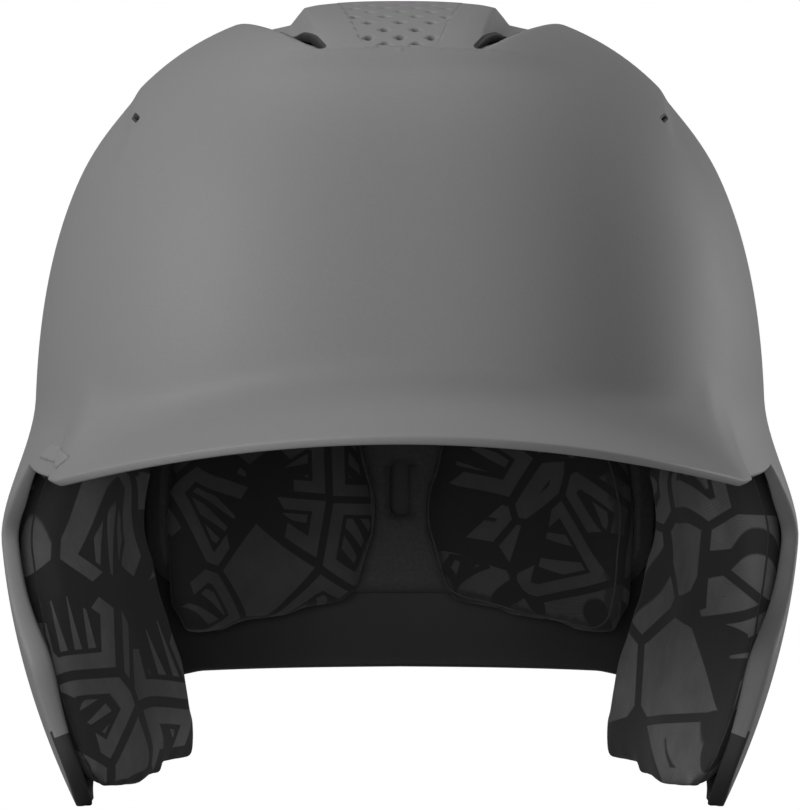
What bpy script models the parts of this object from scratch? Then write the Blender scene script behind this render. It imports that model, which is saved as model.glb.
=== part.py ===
"""A two-ear batting helmet: moulded shell with a short brim, crest inlay, foam liners and wrapped pads.

Frame: metres, +Z up, the brim points to -Y, +X is to the right seen from the front.
The origin is the middle of the helmet's footprint, on the plane the ear flaps stand on. Shapes are worked
out about the dome's own centre, which lies DOME_CENTRE_Y behind the origin.

Every piece is a layer that follows one smooth base surface (dome, ear flaps and brim). A layer is a flat
outline, meshed with a constrained triangulation, laid on that surface, and given an outer and an inner
depth below it. Azimuth 0 is the front and grows towards +X.
"""
import math

import bpy
import numpy as np
from mathutils import Vector
from mathutils.geometry import delaunay_2d_cdt
from mathutils.kdtree import KDTree

MM = 0.001
DEG = math.pi / 180

# Dome: a super-ellipsoid above the ring height.
HALF_WIDTH = 102.8 * MM
FRONT_LENGTH = 118.0 * MM
BACK_LENGTH = 126.0 * MM
RING_HEIGHT = 95.0 * MM
TOP_HEIGHT = 225.6 * MM
WIDTH_POWER = 2.58
LENGTH_POWER = 2.2

# Ear flaps: they flare out below the dome, then tuck in towards the jaw.
FLAP_FRONT_TURNS = (40 * DEG, 62 * DEG)
FLAP_BACK_TURNS = (105 * DEG, 150 * DEG)
FLARE_TOP = 114.0 * MM
FLARE_CREASE = 74.5 * MM
FLARE_OUT = 9.4 * MM
TUCK_LINEAR = 6.2 * MM
TUCK_SQUARE = 14.7 * MM
NAPE_TUCK = 8.0 * MM
NAPE_HEIGHT = 33.0 * MM

# Brim: a round plan with its edge arched in height.
BRIM_REACH = 172.0 * MM
BRIM_CIRCLE = 92.7 * MM
BRIM_EDGE_HEIGHT = 104.2 * MM
BRIM_ARCH = 12.3 * MM
BRIM_HALF_WIDTH = 92.3 * MM
BRIM_RUN_CENTRE = 3.7
BRIM_RUN_CORNER = 1.0
BRIM_CORNER = 46.4 * DEG
BRIM_FILLET = 18.0 * MM
BRIM_FADE_TURNS = (50 * DEG, 66 * DEG)
BRIM_FADE_HEIGHTS = (130 * MM, 170 * MM)
NOTCH_RISE = 1.6 * MM
NOTCH_START = 44.0 * DEG
NOTCH_AZIMUTH = 66.5 * DEG
DOME_CENTRE_Y = (BRIM_REACH - BACK_LENGTH) / 2

# Shell wall.
WALL = 3.0 * MM
BRIM_WALL = 2.4 * MM
FLAP_RIM_WALL = 4.6 * MM
RIM_SWELL = 2.0 * MM
RIM_SWELL_HEIGHT = 40.0 * MM
RIM_SWELL_REACH = 16.0 * MM

# Crest: a flat-topped spine between two lens-shaped channels, symmetric about CREST_MIDDLE.
CREST_MIDDLE = 5.0 * MM
CREST_HALF_LENGTH = 76.0 * MM
CREST_END_SHARPNESS = 9.0
PLATEAU_HALF_WIDTH = 29.2 * MM
PLATEAU_TAPER = 6.8 * MM
CHANNEL_HALF_WIDTH = 43.4 * MM
CHANNEL_TAPER = 22.5 * MM
CHANNEL_POWER = 2.3
CHANNEL_DEPTH = 3.6 * MM
CHANNEL_WALL = 4.0 * MM
CREST_STEP = 0.9 * MM
INLAY_HALF_WIDTH = 18.0 * MM
INLAY_TAPER = 8.4 * MM
INLAY_HALF_LENGTH = 75.0 * MM
INLAY_RECESS = 1.8 * MM
INLAY_THICKNESS = 1.2 * MM
INLAY_WALL = 0.8 * MM
INLAY_CLEARANCE = 0.35 * MM
INLAY_TOP = 0.15 * MM
PIT_PITCH = 8.9 * MM
PIT_ROW = 5.6 * MM
PIT_RADIUS = 1.8 * MM
PIT_DEPTH = 0.7 * MM
PIT_MARGIN = 1.2 * MM

# Side creases: a shallow scoop outside each one, deeper at the back, where it holds a slot.
CREASE_X = 73.0 * MM
SCOOP_DEPTH = 2.2 * MM
SCOOP_WIDTH = 17.0 * MM
SCOOP_FRONT_SHARE = 0.45

# Hearing slots in the flaps, upright, given as (y, half height).
EAR_SLOTS = ((4 * MM, 8 * MM), (17 * MM, 12 * MM), (30 * MM, 8 * MM))
EAR_HEIGHT = 58.0 * MM
EAR_SLOT_RADIUS = 3.0 * MM

# Liners and pads: depths below the base surface.
GAP = 0.5 * MM
PAD_BACK = 5.2 * MM
PAD_FACE = 26.5 * MM
PAD_FRONT_FACE = 11.0 * MM
PAD_RAMP = (-32.0 * MM, 6.0 * MM)
PAD_SAG = 0.62
PAD_SAG_START = 6.0 * MM
PAD_SAG_HEIGHTS = (75.0 * MM, 15.0 * MM)
COVER_SKIN = 1.4 * MM
PATCH_TOP = 3.4 * MM
PATCH_THICKNESS = 1.3 * MM
LINER_FACE = 16.0 * MM
LINER_BULGE = 0.15
PAD_BULGE = 0.3
BROW_PAD_THICKNESS = 6.5 * MM
CROWN_LINER_BACK = 7.6 * MM
CROWN_LINER_FACE = 18.0 * MM
CROWN_PAD_THICKNESS = 7.5 * MM
REAR_LINER_FACE = 12.0 * MM
REAR_PAD_BACK = 14.6 * MM
REAR_PAD_FACE = 25.0 * MM
REAR_SLOT = (80.0 * MM, 92.0 * MM, 2.5 * MM)

# Blank plate on the brim: (azimuth, height), half sizes and depths of its face and its back.
PLATE_PLACE = (-56 * DEG, 99 * MM)
PLATE_HALF_SIZES = (4.0 * MM, 3.2 * MM)
PLATE_DEPTHS = (-1.15 * MM, -0.6 * MM)

# Mesh sizes.
SHELL_STEP = 11.5 * MM
SOFT_STEP = 13.0 * MM
SLIVER_AREA = 1e-9
ON_PLANE = 1e-6
SMOOTH_ANGLE = 35 * DEG
ROUND_RADIUS = 105 * MM
TURN_OVER = 150 * MM


# ---------------------------------------------------------------- smooth helpers
def smoothstep(low, high, value):
    t = np.clip((value - low) / (high - low), 0.0, 1.0)
    return t * t * (3 - 2 * t)


def smooth_max(a, b, width):
    near = np.maximum(width - np.abs(a - b), 0.0) / width
    return np.maximum(a, b) + near * near * width / 4


# ---------------------------------------------------------------- base surface
def height_of_level(level):
    """Level 0 is the crown, 1 the ring, 2 the plane the flaps stand on."""
    dome = RING_HEIGHT + (TOP_HEIGHT - RING_HEIGHT) * np.cos(np.clip(level, 0, 1) * math.pi / 2)
    return np.where(level <= 1, dome, RING_HEIGHT * (2 - level))


def level_of_height(height):
    share = np.clip((height - RING_HEIGHT) / (TOP_HEIGHT - RING_HEIGHT), 0, 1)
    return np.where(height >= RING_HEIGHT, np.arccos(share) * 2 / math.pi, 2 - height / RING_HEIGHT)


def turn_from_front(azimuth):
    return np.abs((azimuth + math.pi) % (2 * math.pi) - math.pi)


def plan_terms(azimuth):
    length = np.where(np.cos(azimuth) > 0, FRONT_LENGTH, BACK_LENGTH)
    across = (np.abs(np.sin(azimuth)) / HALF_WIDTH) ** WIDTH_POWER
    along = (np.abs(np.cos(azimuth)) / length) ** LENGTH_POWER
    return across, along


def dome_radius(azimuth, level):
    """Plan radius of the dome, from across * r**WIDTH_POWER + along * r**LENGTH_POWER = fill."""
    share = np.cos(np.clip(level, 0, 1) * math.pi / 2)
    fill = 1 - share ** WIDTH_POWER
    across, along = plan_terms(azimuth)
    tiny = 1e-12
    radius = np.minimum((fill / (across + tiny)) ** (1 / WIDTH_POWER),
                        (fill / (along + tiny)) ** (1 / LENGTH_POWER))
    for _ in range(12):
        value = across * radius ** WIDTH_POWER + along * radius ** LENGTH_POWER - fill
        slope = WIDTH_POWER * across * radius ** (WIDTH_POWER - 1)
        slope = slope + LENGTH_POWER * along * radius ** (LENGTH_POWER - 1)
        radius = radius - value / (slope + tiny)
    return radius


def flap_offset(azimuth, height):
    """How far the skirt below the dome stands out of it."""
    turn = turn_from_front(azimuth)
    nape = smoothstep(*FLAP_BACK_TURNS, turn)
    side = smoothstep(*FLAP_FRONT_TURNS, turn) * (1 - nape)
    down = np.clip((FLARE_CREASE - height) / FLARE_CREASE, 0, 1)
    flare = FLARE_OUT * smoothstep(FLARE_TOP, FLARE_CREASE, height)
    flare = flare - TUCK_LINEAR * down - TUCK_SQUARE * down ** 2
    tuck = -NAPE_TUCK * np.clip((RING_HEIGHT - height) / (RING_HEIGHT - NAPE_HEIGHT), 0, 1.5) ** 2
    return side * flare + nape * tuck


def brim_edge(azimuth):
    """(plan radius, height) of the brim's upper edge."""
    centre = BRIM_REACH - BRIM_CIRCLE
    radius = centre * np.cos(azimuth) + np.sqrt(BRIM_CIRCLE ** 2 - (centre * np.sin(azimuth)) ** 2)
    across = radius * np.abs(np.sin(azimuth)) / BRIM_HALF_WIDTH
    rise = NOTCH_RISE * np.clip((np.abs(azimuth) - NOTCH_START) / (NOTCH_AZIMUTH - NOTCH_START), 0, None)
    return radius, BRIM_EDGE_HEIGHT - BRIM_ARCH * np.minimum(across, 1) ** 2 + rise


def brim_radius(azimuth, height):
    """Plan radius of the brim's top, far inside the dome where there is no brim."""
    turn = turn_from_front(azimuth)
    edge, edge_height = brim_edge(azimuth)
    share = np.clip(turn / BRIM_CORNER, 0, 1) ** 2
    run = BRIM_RUN_CENTRE + (BRIM_RUN_CORNER - BRIM_RUN_CENTRE) * share
    fade = 60 * MM * smoothstep(*BRIM_FADE_TURNS, turn) + 400 * MM * (turn > 80 * DEG)
    fade = fade + 80 * MM * smoothstep(*BRIM_FADE_HEIGHTS, height)
    return edge - np.maximum(height - edge_height, -8 * MM) * run - fade


def surface(azimuth, level, brim=True):
    """Points (n, 3) of the smooth base surface."""
    azimuth, level = np.broadcast_arrays(np.asarray(azimuth, float), np.asarray(level, float))
    height = height_of_level(level)
    radius = dome_radius(azimuth, level) + flap_offset(azimuth, height)
    if brim:
        radius = smooth_max(radius, brim_radius(azimuth, height), BRIM_FILLET)
    return np.stack([radius * np.sin(azimuth), -radius * np.cos(azimuth), height], axis=-1)


def normals(azimuth, level, brim=True):
    """Outward unit normals of the base surface."""
    d = 1e-3
    level = np.maximum(level, 3 * d)
    round_it = surface(azimuth + d, level, brim) - surface(azimuth - d, level, brim)
    down_it = surface(azimuth, level + d, brim) - surface(azimuth, level - d, brim)
    normal = np.cross(down_it, round_it)
    return normal / np.linalg.norm(normal, axis=-1, keepdims=True)


def meridian_table(rows=91, columns=700):
    """Arc lengths from the crown, one row per azimuth from 0 to 180 degrees."""
    azimuths = np.linspace(0, math.pi, rows)
    levels = np.linspace(0, 2, columns)
    grid = surface(azimuths[:, None], levels[None, :])
    steps = np.linalg.norm(np.diff(grid, axis=1), axis=2)
    return azimuths, levels, np.concatenate([np.zeros((rows, 1)), np.cumsum(steps, axis=1)], axis=1)


TABLE = meridian_table()


def arc_row(azimuth):
    azimuths, _, arcs = TABLE
    at = min(abs(azimuth) / (azimuths[1] - azimuths[0]), len(azimuths) - 1.000001)
    i = int(at)
    return arcs[i] + (arcs[i + 1] - arcs[i]) * (at - i)


def arcs_of(azimuth, level):
    return np.array([np.interp(l, TABLE[1], arc_row(a)) for a, l in zip(azimuth, level)])


def level_at_arc(azimuth, arc):
    return np.array([np.interp(s, arc_row(a), TABLE[1]) for a, s in zip(azimuth, arc)])


# ---------------------------------------------------------------- flat domains
# A domain turns flat coordinates into (azimuth, level). Each nearly keeps lengths where it is used.
def from_side(flat):
    """(y, z) of a flap seen from the right."""
    y, z = flat[:, 0], flat[:, 1]
    level = level_of_height(z)
    azimuth = np.full(len(y), math.pi / 2)
    for _ in range(40):
        radius = dome_radius(azimuth, level) + flap_offset(azimuth, z)
        azimuth = azimuth + 0.7 * (np.arccos(np.clip(-y / radius, -1, 1)) - azimuth)
    return azimuth, level


def from_top(flat):
    """(x, y) of the dome seen from above."""
    x, y = flat[:, 0], flat[:, 1]
    azimuth = np.arctan2(x, -y)
    radius = np.hypot(x, y)
    across, along = plan_terms(azimuth)
    fill = np.minimum(across * radius ** WIDTH_POWER + along * radius ** LENGTH_POWER, 1)
    return azimuth, np.arccos((1 - fill) ** (1 / WIDTH_POWER)) * 2 / math.pi


def from_band(flat):
    """(azimuth * ROUND_RADIUS, z) of the dome's wall."""
    return flat[:, 0] / ROUND_RADIUS, level_of_height(flat[:, 1])


def polar_plane(azimuth, level):
    """Flat coordinates of the whole surface that keep its angles, for the shell's triangulation."""
    arc = arcs_of(azimuth, level)
    sphere = 2 * ROUND_RADIUS
    edge = sphere * math.tan(TURN_OVER / sphere)
    radius = np.where(arc < TURN_OVER, sphere * np.tan(np.minimum(arc, TURN_OVER) / sphere),
                      edge * np.exp(np.maximum(arc - TURN_OVER, 0) / ROUND_RADIUS))
    return np.stack([radius * np.sin(azimuth), -radius * np.cos(azimuth)], axis=1)


# ---------------------------------------------------------------- outlines
def resample(path, step, closed):
    """Even points along a polyline, its ends kept."""
    path = np.asarray(path, float)
    if closed:
        path = np.vstack([path, path[:1]])
    lengths = np.concatenate([[0], np.cumsum(np.linalg.norm(np.diff(path, axis=0), axis=1))])
    count = max(3, int(round(lengths[-1] / step)))
    at = np.linspace(0, lengths[-1], count + 1)
    points = np.stack([np.interp(at, lengths, path[:, k]) for k in range(path.shape[1])], axis=1)
    return points[:-1] if closed else points


def rounded(corners, closed=True):
    """Dense polyline through (u, v, radius) corners, each turned as an arc."""
    corners = [np.array(c, float) for c in corners]
    count = len(corners)
    points = []
    for i, corner in enumerate(corners):
        if not closed and i in (0, count - 1):
            points.append(corner[:2])
            continue
        before, after = corners[i - 1][:2] - corner[:2], corners[(i + 1) % count][:2] - corner[:2]
        room = 0.48 * min(np.linalg.norm(before), np.linalg.norm(after))
        before, after = before / np.linalg.norm(before), after / np.linalg.norm(after)
        half = math.acos(float(np.clip(before @ after, -1, 1))) / 2
        reach = min(corner[2] / math.tan(half), room)
        radius = reach * math.tan(half)
        centre = corner[:2] + (before + after) / np.linalg.norm(before + after) * radius / math.sin(half)
        start, end = corner[:2] + before * reach - centre, corner[:2] + after * reach - centre
        sweep = math.atan2(start[0] * end[1] - start[1] * end[0], start @ end)
        for t in np.linspace(0, sweep, 9):
            points.append(centre + np.array([start[0] * math.cos(t) - start[1] * math.sin(t),
                                             start[0] * math.sin(t) + start[1] * math.cos(t)]))
    return np.array(points)


def shifted(loop, distance):
    """A closed loop moved outwards by distance."""
    tangent = np.roll(loop, -1, axis=0) - np.roll(loop, 1, axis=0)
    tangent /= np.linalg.norm(tangent, axis=1, keepdims=True)
    outward = np.stack([tangent[:, 1], -tangent[:, 0]], axis=1) * np.sign(area(loop))
    return loop + outward * distance


def area(loop):
    following = np.roll(loop, -1, axis=0)
    return 0.5 * np.sum(loop[:, 0] * following[:, 1] - following[:, 0] * loop[:, 1])


def inside(points, loop):
    """Which points a closed loop holds."""
    held = np.zeros(len(points), bool)
    for (ax, ay), (bx, by) in zip(loop, np.roll(loop, -1, axis=0)):
        crosses = (ay > points[:, 1]) != (by > points[:, 1])
        if crosses.any():
            held ^= crosses & (points[:, 0] < ax + (points[:, 1] - ay) / (by - ay + 1e-18) * (bx - ax))
    return held


def slot_loop(start, end, radius):
    """A round-ended slot between two points."""
    start, end = np.array(start, float), np.array(end, float)
    heading = math.atan2(*(end - start)[::-1])
    turns = np.linspace(-math.pi / 2, math.pi / 2, 7)
    far = [end + radius * np.array([math.cos(heading + t), math.sin(heading + t)]) for t in turns]
    near = [start - radius * np.array([math.cos(heading + t), math.sin(heading + t)]) for t in turns]
    return np.array(far + near)


# ---------------------------------------------------------------- layers
def lattice(low, high, step):
    """A triangular grid over a box, in step with every other one."""
    pitch = step * math.sqrt(3) / 2
    rows = np.arange(math.floor(low[1] / pitch), math.ceil(high[1] / pitch))
    columns = np.arange(math.floor(low[0] / step), math.ceil(high[0] / step))
    u, v = np.meshgrid(columns * step, rows * pitch)
    u = u + (rows % 2)[:, None] * step / 2
    return np.stack([u.ravel(), v.ravel()], axis=1)


def triangulate(loops, points, extra_edges):
    """Triangles over the first loop, less the others. Loops hold indices into points."""
    edges = [(loop[i], loop[(i + 1) % len(loop)]) for loop in loops for i in range(len(loop))] + extra_edges
    found = delaunay_2d_cdt([Vector(p) for p in points], edges, [], 0, 1e-9)
    if len(found[0]) != len(points):
        raise ValueError("outline or feature lines cross")
    order = [origin[0] for origin in found[3]]
    triangles = np.array([[order[i] for i in face] for face in found[2]])
    centres = points[triangles].mean(axis=1)
    corner = points[triangles[:, 0]]
    first, second = points[triangles[:, 1]] - corner, points[triangles[:, 2]] - corner
    keep = inside(centres, points[loops[0]])
    keep &= first[:, 0] * second[:, 1] - first[:, 1] * second[:, 0] > SLIVER_AREA
    for hole in loops[1:]:
        keep &= ~inside(centres, points[hole])
    return triangles[keep]


def nearest(points, fixed):
    """Distance of each point from the nearest fixed one."""
    tree = KDTree(len(fixed))
    for i, place in enumerate(fixed):
        tree.insert(place, i)
    tree.balance()
    return np.array([tree.find(point)[2] for point in points])


def add_mesh(name, points, faces, material):
    """An object whose own origin is the dome's centre."""
    mesh = bpy.data.meshes.new(name)
    mesh.from_pydata([tuple(p) for p in points], [], faces)
    mesh.shade_smooth()
    mesh.set_sharp_from_angle(angle=SMOOTH_ANGLE)
    obj = bpy.data.objects.new(name, mesh)
    obj.location = (0, DOME_CENTRE_Y, 0)
    bpy.context.scene.collection.objects.link(obj)
    mesh.materials.append(material)
    return obj


def sagged(points):
    """Lets the inner side of an ear pad hang lower, so that its underside lies flatter."""
    azimuth, height = np.arctan2(points[:, 0], -points[:, 1]), points[:, 2]
    wall = dome_radius(azimuth, level_of_height(height)) + flap_offset(azimuth, height)
    depth = wall - np.hypot(points[:, 0], points[:, 1])
    drop = PAD_SAG * np.maximum(depth - PAD_SAG_START, 0) * smoothstep(*PAD_SAG_HEIGHTS, height)
    return points - np.outer(drop, (0, 0, 1))


def build_layer(name, material, azimuth, level, loops, triangles, outer, inner, brim, lip, bulge, half,
                sag=False):
    """Closed mesh from triangles on the base surface: outer skin, inner skin and a lip round every loop."""
    base, normal = surface(azimuth, level, brim), normals(azimuth, level, brim)
    top, bottom = base - normal * outer[:, None], base - normal * inner[:, None]
    if half:
        bottom[base[:, 2] < ON_PLANE, 2] = 0
    count = len(base)
    rows = [top, bottom]
    faces = [tuple(t) for t in triangles] + [tuple(t[::-1] + count) for t in triangles]
    total = 2 * count
    for loop in loops:
        loop = np.array(loop)
        tangent = base[np.roll(loop, -1)] - base[np.roll(loop, 1)]
        middle = (np.abs(base[loop, 0]) < ON_PLANE) & half
        tangent[middle] = (1, 0, 0)
        sign = np.where(middle, np.where(base[loop, 1] < 0, 1, -1), 1)
        away = np.cross(tangent * sign[:, None], normal[loop])
        away /= np.linalg.norm(away, axis=1, keepdims=True)
        centre, arm = (top[loop] + bottom[loop]) / 2, (top[loop] - bottom[loop]) / 2
        reach = np.linalg.norm(arm, axis=1, keepdims=True) * bulge
        rings = [loop]
        for j in range(1, lip):
            angle = math.pi * j / lip
            rows.append(centre + arm * math.cos(angle) + away * reach * math.sin(angle))
            rings.append(np.arange(total, total + len(loop)))
            total += len(loop)
        rings.append(loop + count)
        for i in range(len(loop)):
            k = (i + 1) % len(loop)
            if middle[i] and middle[k]:
                continue
            faces += [(a[k], a[i], b[i], b[k]) for a, b in zip(rings, rings[1:])]
    points = np.vstack(rows)
    if half:
        points[np.abs(points[:, 0]) < ON_PLANE, 0] = 0
    points, faces = drop_unused(points, faces)
    if sag:
        points = sagged(points)
    return add_mesh(name, points, faces, material)


def drop_unused(points, faces):
    used = np.unique(np.concatenate([np.array(f) for f in faces]))
    new = np.full(len(points), -1)
    new[used] = np.arange(len(used))
    return points[used], [tuple(int(new[i]) for i in f) for f in faces]


def flat_layer(name, material, domain, outline, outer, inner, holes=(), lip=2, bulge=PAD_BULGE,
               brim=False, extra=None, sag=False):
    """A liner or pad from sampled loops in a flat domain. outer and inner: depths, or functions of place."""
    loops, points = [], []
    for path in [outline, *holes]:
        wanted = 1 if not loops else -1
        path = path if np.sign(area(path)) == wanted else path[::-1]
        loops.append(list(range(len(points), len(points) + len(path))))
        points += list(path)
    edges = []
    sunk = np.zeros(len(points))
    if extra:
        pit_points, pit_edges, pit_depths = extra
        edges = [(a + len(points), b + len(points)) for a, b in pit_edges]
        points += list(pit_points)
        sunk = np.concatenate([sunk, pit_depths])
    fixed = np.array(points)
    grid = lattice(fixed.min(axis=0), fixed.max(axis=0), SOFT_STEP)
    grid = grid[inside(grid, fixed[loops[0]])]
    grid = grid[nearest(np.pad(grid, ((0, 0), (0, 1))), np.pad(fixed, ((0, 0), (0, 1)))) > 0.55 * SOFT_STEP]
    flat = np.vstack([fixed, grid])
    triangles = triangulate(loops, flat, edges)
    azimuth, level = domain(flat)
    base = surface(azimuth, level, brim)
    first = base[triangles[0]]
    facing = np.cross(first[1] - first[0], first[2] - first[0])
    if facing @ normals(azimuth[triangles[0][:1]], level[triangles[0][:1]], brim)[0] < 0:
        triangles = triangles[:, ::-1]
        loops = [loop[::-1] for loop in loops]
    depths = [value(base) if callable(value) else np.full(len(base), value) for value in (outer, inner)]
    depths[0][:len(sunk)] += sunk
    skins = (azimuth, level, loops, triangles, *depths)
    return build_layer(name, material, *skins, brim, lip, bulge, False, sag)


def mirrored(obj, name, material):
    """The piece for the other side, as its own object."""
    mesh = obj.data
    points = np.array([v.co for v in mesh.vertices])
    points[:, 0] *= -1
    return add_mesh(name, points, [tuple(p.vertices)[::-1] for p in mesh.polygons], material)


# ---------------------------------------------------------------- shell relief
def crest_share(y):
    """-1 at the crest's front end, 1 at its back end."""
    return (y - CREST_MIDDLE) / CREST_HALF_LENGTH


def plateau_edge(share):
    return PLATEAU_HALF_WIDTH - PLATEAU_TAPER * share ** 2


def crest_end(share):
    """1 along the crest, falling to 0 at its ends."""
    return np.clip((1 - np.abs(share)) * CREST_END_SHARPNESS, 0, 1)


def channel_edge(share):
    return CHANNEL_HALF_WIDTH - CHANNEL_TAPER * np.abs(share) ** CHANNEL_POWER


def inlay_edge(share):
    return INLAY_HALF_WIDTH - INLAY_TAPER * share ** 2


def relief(azimuth, level):
    """Depth of the outer skin below the base surface."""
    base = surface(azimuth, level)
    x, y, z = np.abs(base[:, 0]), base[:, 1], base[:, 2]
    share = crest_share(y)
    end = crest_end(share) * (z > RING_HEIGHT)
    off_plateau = np.clip((x - plateau_edge(share)) / CHANNEL_WALL + 0.5, 0, 1)
    in_channel = off_plateau * np.clip((channel_edge(share) - x) / CHANNEL_WALL + 0.5, 0, 1)
    depth = CHANNEL_DEPTH * in_channel * end
    depth = depth - CREST_STEP * (1 - off_plateau) * smoothstep(0.55, 0.9, np.abs(share)) * end
    along = np.abs(y - CREST_MIDDLE)
    in_inlay = np.clip((inlay_edge(share) - x) / INLAY_WALL, 0, 1)
    in_inlay = in_inlay * np.clip((INLAY_HALF_LENGTH - along) / INLAY_WALL, 0, 1)
    depth = depth + INLAY_RECESS * in_inlay * (z > RING_HEIGHT)
    out = (x - CREASE_X) / SCOOP_WIDTH
    scoop = smoothstep(0, 0.25, out) * (1 - smoothstep(0.3, 1.0, out)) * (z > RING_HEIGHT + 20 * MM)
    length = smoothstep(-60 * MM, -40 * MM, y) * (1 - smoothstep(50 * MM, 75 * MM, y))
    deeper = SCOOP_FRONT_SHARE + (1 - SCOOP_FRONT_SHARE) * smoothstep(0, 25 * MM, y)
    return depth + SCOOP_DEPTH * scoop * length * deeper


def wall_depth(azimuth, level, rim):
    """Depth of the inner skin: thinner at the brim, thicker along the ear flap's edges."""
    height = height_of_level(level)
    turn = turn_from_front(azimuth)
    at_brim = (1 - smoothstep(52 * DEG, 64 * DEG, turn)) * (1 - smoothstep(108 * MM, 135 * MM, height))
    at_flap = smoothstep(60 * DEG, 66 * DEG, turn) * (1 - smoothstep(84 * MM, 96 * MM, height))
    at_flap = at_flap * (1 - smoothstep(100 * DEG, 120 * DEG, turn)) * (1 - smoothstep(4 * MM, 11 * MM, rim))
    rim_wall = FLAP_RIM_WALL + RIM_SWELL * np.exp(-((height - RIM_SWELL_HEIGHT) / RIM_SWELL_REACH) ** 2)
    wall = WALL + (BRIM_WALL - WALL) * at_brim + (rim_wall - WALL) * at_flap
    return wall + np.maximum(relief(azimuth, level), 0)


# ---------------------------------------------------------------- shell outline
def trim_pieces():
    """The shell's lower edge from the front mid plane to the back one, as (azimuth, level) runs."""
    def brim_run(start, end):
        azimuth = np.linspace(start, end, 60)
        return np.stack([azimuth, level_of_height(brim_edge(azimuth)[1])], axis=1)

    notch = surface(NOTCH_AZIMUTH, level_of_height(brim_edge(NOTCH_AZIMUTH)[1]))
    front_edge = [(notch[1] / MM, notch[2] / MM, 0), (-24, 77, 9), (-28, 55, 24), (-40, 41, 12), (-39, 8, 16),
                  (-24, 0, 12), (-18, 0, 0)]
    foot = [(-18, 0, 0), (-4, 0, 0)]
    back_edge = [(-4, 0, 0), (4, 0, 20), (22, 2, 40), (50, 5, 40), (78, 11, 20), (91, 30, 14), (100, 32.5, 0)]
    flap = []
    for corners in (front_edge, foot, back_edge):
        path = rounded(np.array(corners) * MM, closed=False)
        azimuth, level = from_side(resample(path, 1.5 * MM, closed=False))
        flap.append(np.stack([azimuth, level], axis=1))
    start = flap[2][-1]
    share = np.linspace(0, 1, 40)[:, None]
    nape = start + (np.array([math.pi, level_of_height(NAPE_HEIGHT)]) - start) * share
    back = np.vstack([flap[2], nape[1:]])
    return [brim_run(0, BRIM_CORNER), brim_run(BRIM_CORNER, NOTCH_AZIMUTH), flap[0], flap[1], back]


def even(path, step, closed=False):
    """Resample an (azimuth, level) path by its real length."""
    places = surface(path[:, 0], path[:, 1])
    if closed:
        path, places = np.vstack([path, path[:1]]), np.vstack([places, places[:1]])
    lengths = np.concatenate([[0], np.cumsum(np.linalg.norm(np.diff(places, axis=0), axis=1))])
    count = max(1, int(round(lengths[-1] / step)))
    at = np.linspace(0, lengths[-1], count + 1)
    points = np.stack([np.interp(at, lengths, path[:, k]) for k in (0, 1)], axis=1)
    return points[:-1] if closed else points


def mid_line(step):
    """From the nape over the crown to the brim, in the mid plane, with points at the inlay's ends."""
    ends = [CREST_MIDDLE + side * (INLAY_HALF_LENGTH - inset) for side, inset in
            ((1, 0), (1, INLAY_WALL), (-1, INLAY_WALL), (-1, 0))]
    levels = from_top(np.stack([np.zeros(4), ends], axis=1))[1]
    nape, brim = level_of_height(NAPE_HEIGHT), level_of_height(BRIM_EDGE_HEIGHT)
    runs = [(math.pi, nape, levels[0]), (math.pi, levels[0], levels[1]), (math.pi, levels[1], 0),
            (0, 0, levels[2]), (0, levels[2], levels[3]), (0, levels[3], brim)]
    pieces = []
    for azimuth, start, end in runs:
        pieces.append(even(stacked(np.full(80, azimuth), np.linspace(start, end, 80)), step))
    return np.vstack([piece[:-1] for piece in pieces] + [pieces[-1][-1:]])


def stacked(azimuth, level):
    return np.stack([azimuth, level], axis=1)


def vent_loops():
    """Every opening of one half of the shell, as (azimuth, level) loops."""
    crescent = slot_loop((22.5 * MM, -66 * MM), (31 * MM, -53.5 * MM), 2.3 * MM)
    slit = slot_loop((72.5 * MM, -53 * MM), (73.5 * MM, -46 * MM), 1.2 * MM)
    side = slot_loop((78.5 * MM, 6 * MM), (76 * MM, 46 * MM), 3.0 * MM)
    rear = slot_loop((ROUND_RADIUS * 146 * DEG, 172 * MM), (ROUND_RADIUS * 164 * DEG, 180 * MM), 3.5 * MM)
    loops = [stacked(*from_top(loop)) for loop in (crescent, slit, side)] + [stacked(*from_band(rear))]
    for y, half_height in EAR_SLOTS:
        slot = slot_loop((y, EAR_HEIGHT - half_height), (y, EAR_HEIGHT + half_height), EAR_SLOT_RADIUS)
        loops.append(stacked(*from_side(slot)))
    return loops


def relief_lines():
    """Lines along the shell's creases, as (azimuth, level) paths."""
    def along(edge, limit, offset):
        y = CREST_MIDDLE + CREST_HALF_LENGTH * np.linspace(-limit, limit, 60)
        x = edge(crest_share(y)) + offset
        return stacked(*from_top(np.stack([x, y], axis=1)))

    half_wall = CHANNEL_WALL / 2
    lines = [along(plateau_edge, 0.99, -half_wall), along(plateau_edge, 0.85, half_wall),
             along(channel_edge, 0.85, -half_wall), along(channel_edge, 0.99, half_wall)]
    for inset in (0, INLAY_WALL):
        reach = INLAY_HALF_LENGTH - inset
        y = CREST_MIDDLE + np.linspace(-reach, reach, 60)
        x = inlay_edge(crest_share(y)) - inset
        for end in (0, -1):
            across = np.stack([np.linspace(0, x[end], 8)[1:-1], np.full(6, y[end])], axis=1)
            lines.append(stacked(*from_top(across)))
        lines.append(stacked(*from_top(np.stack([x, y], axis=1))))
    y = np.linspace(-52 * MM, 62 * MM, 40)
    lines.append(stacked(*from_top(np.stack([np.full(40, CREASE_X), y], axis=1))))
    return lines


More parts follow.
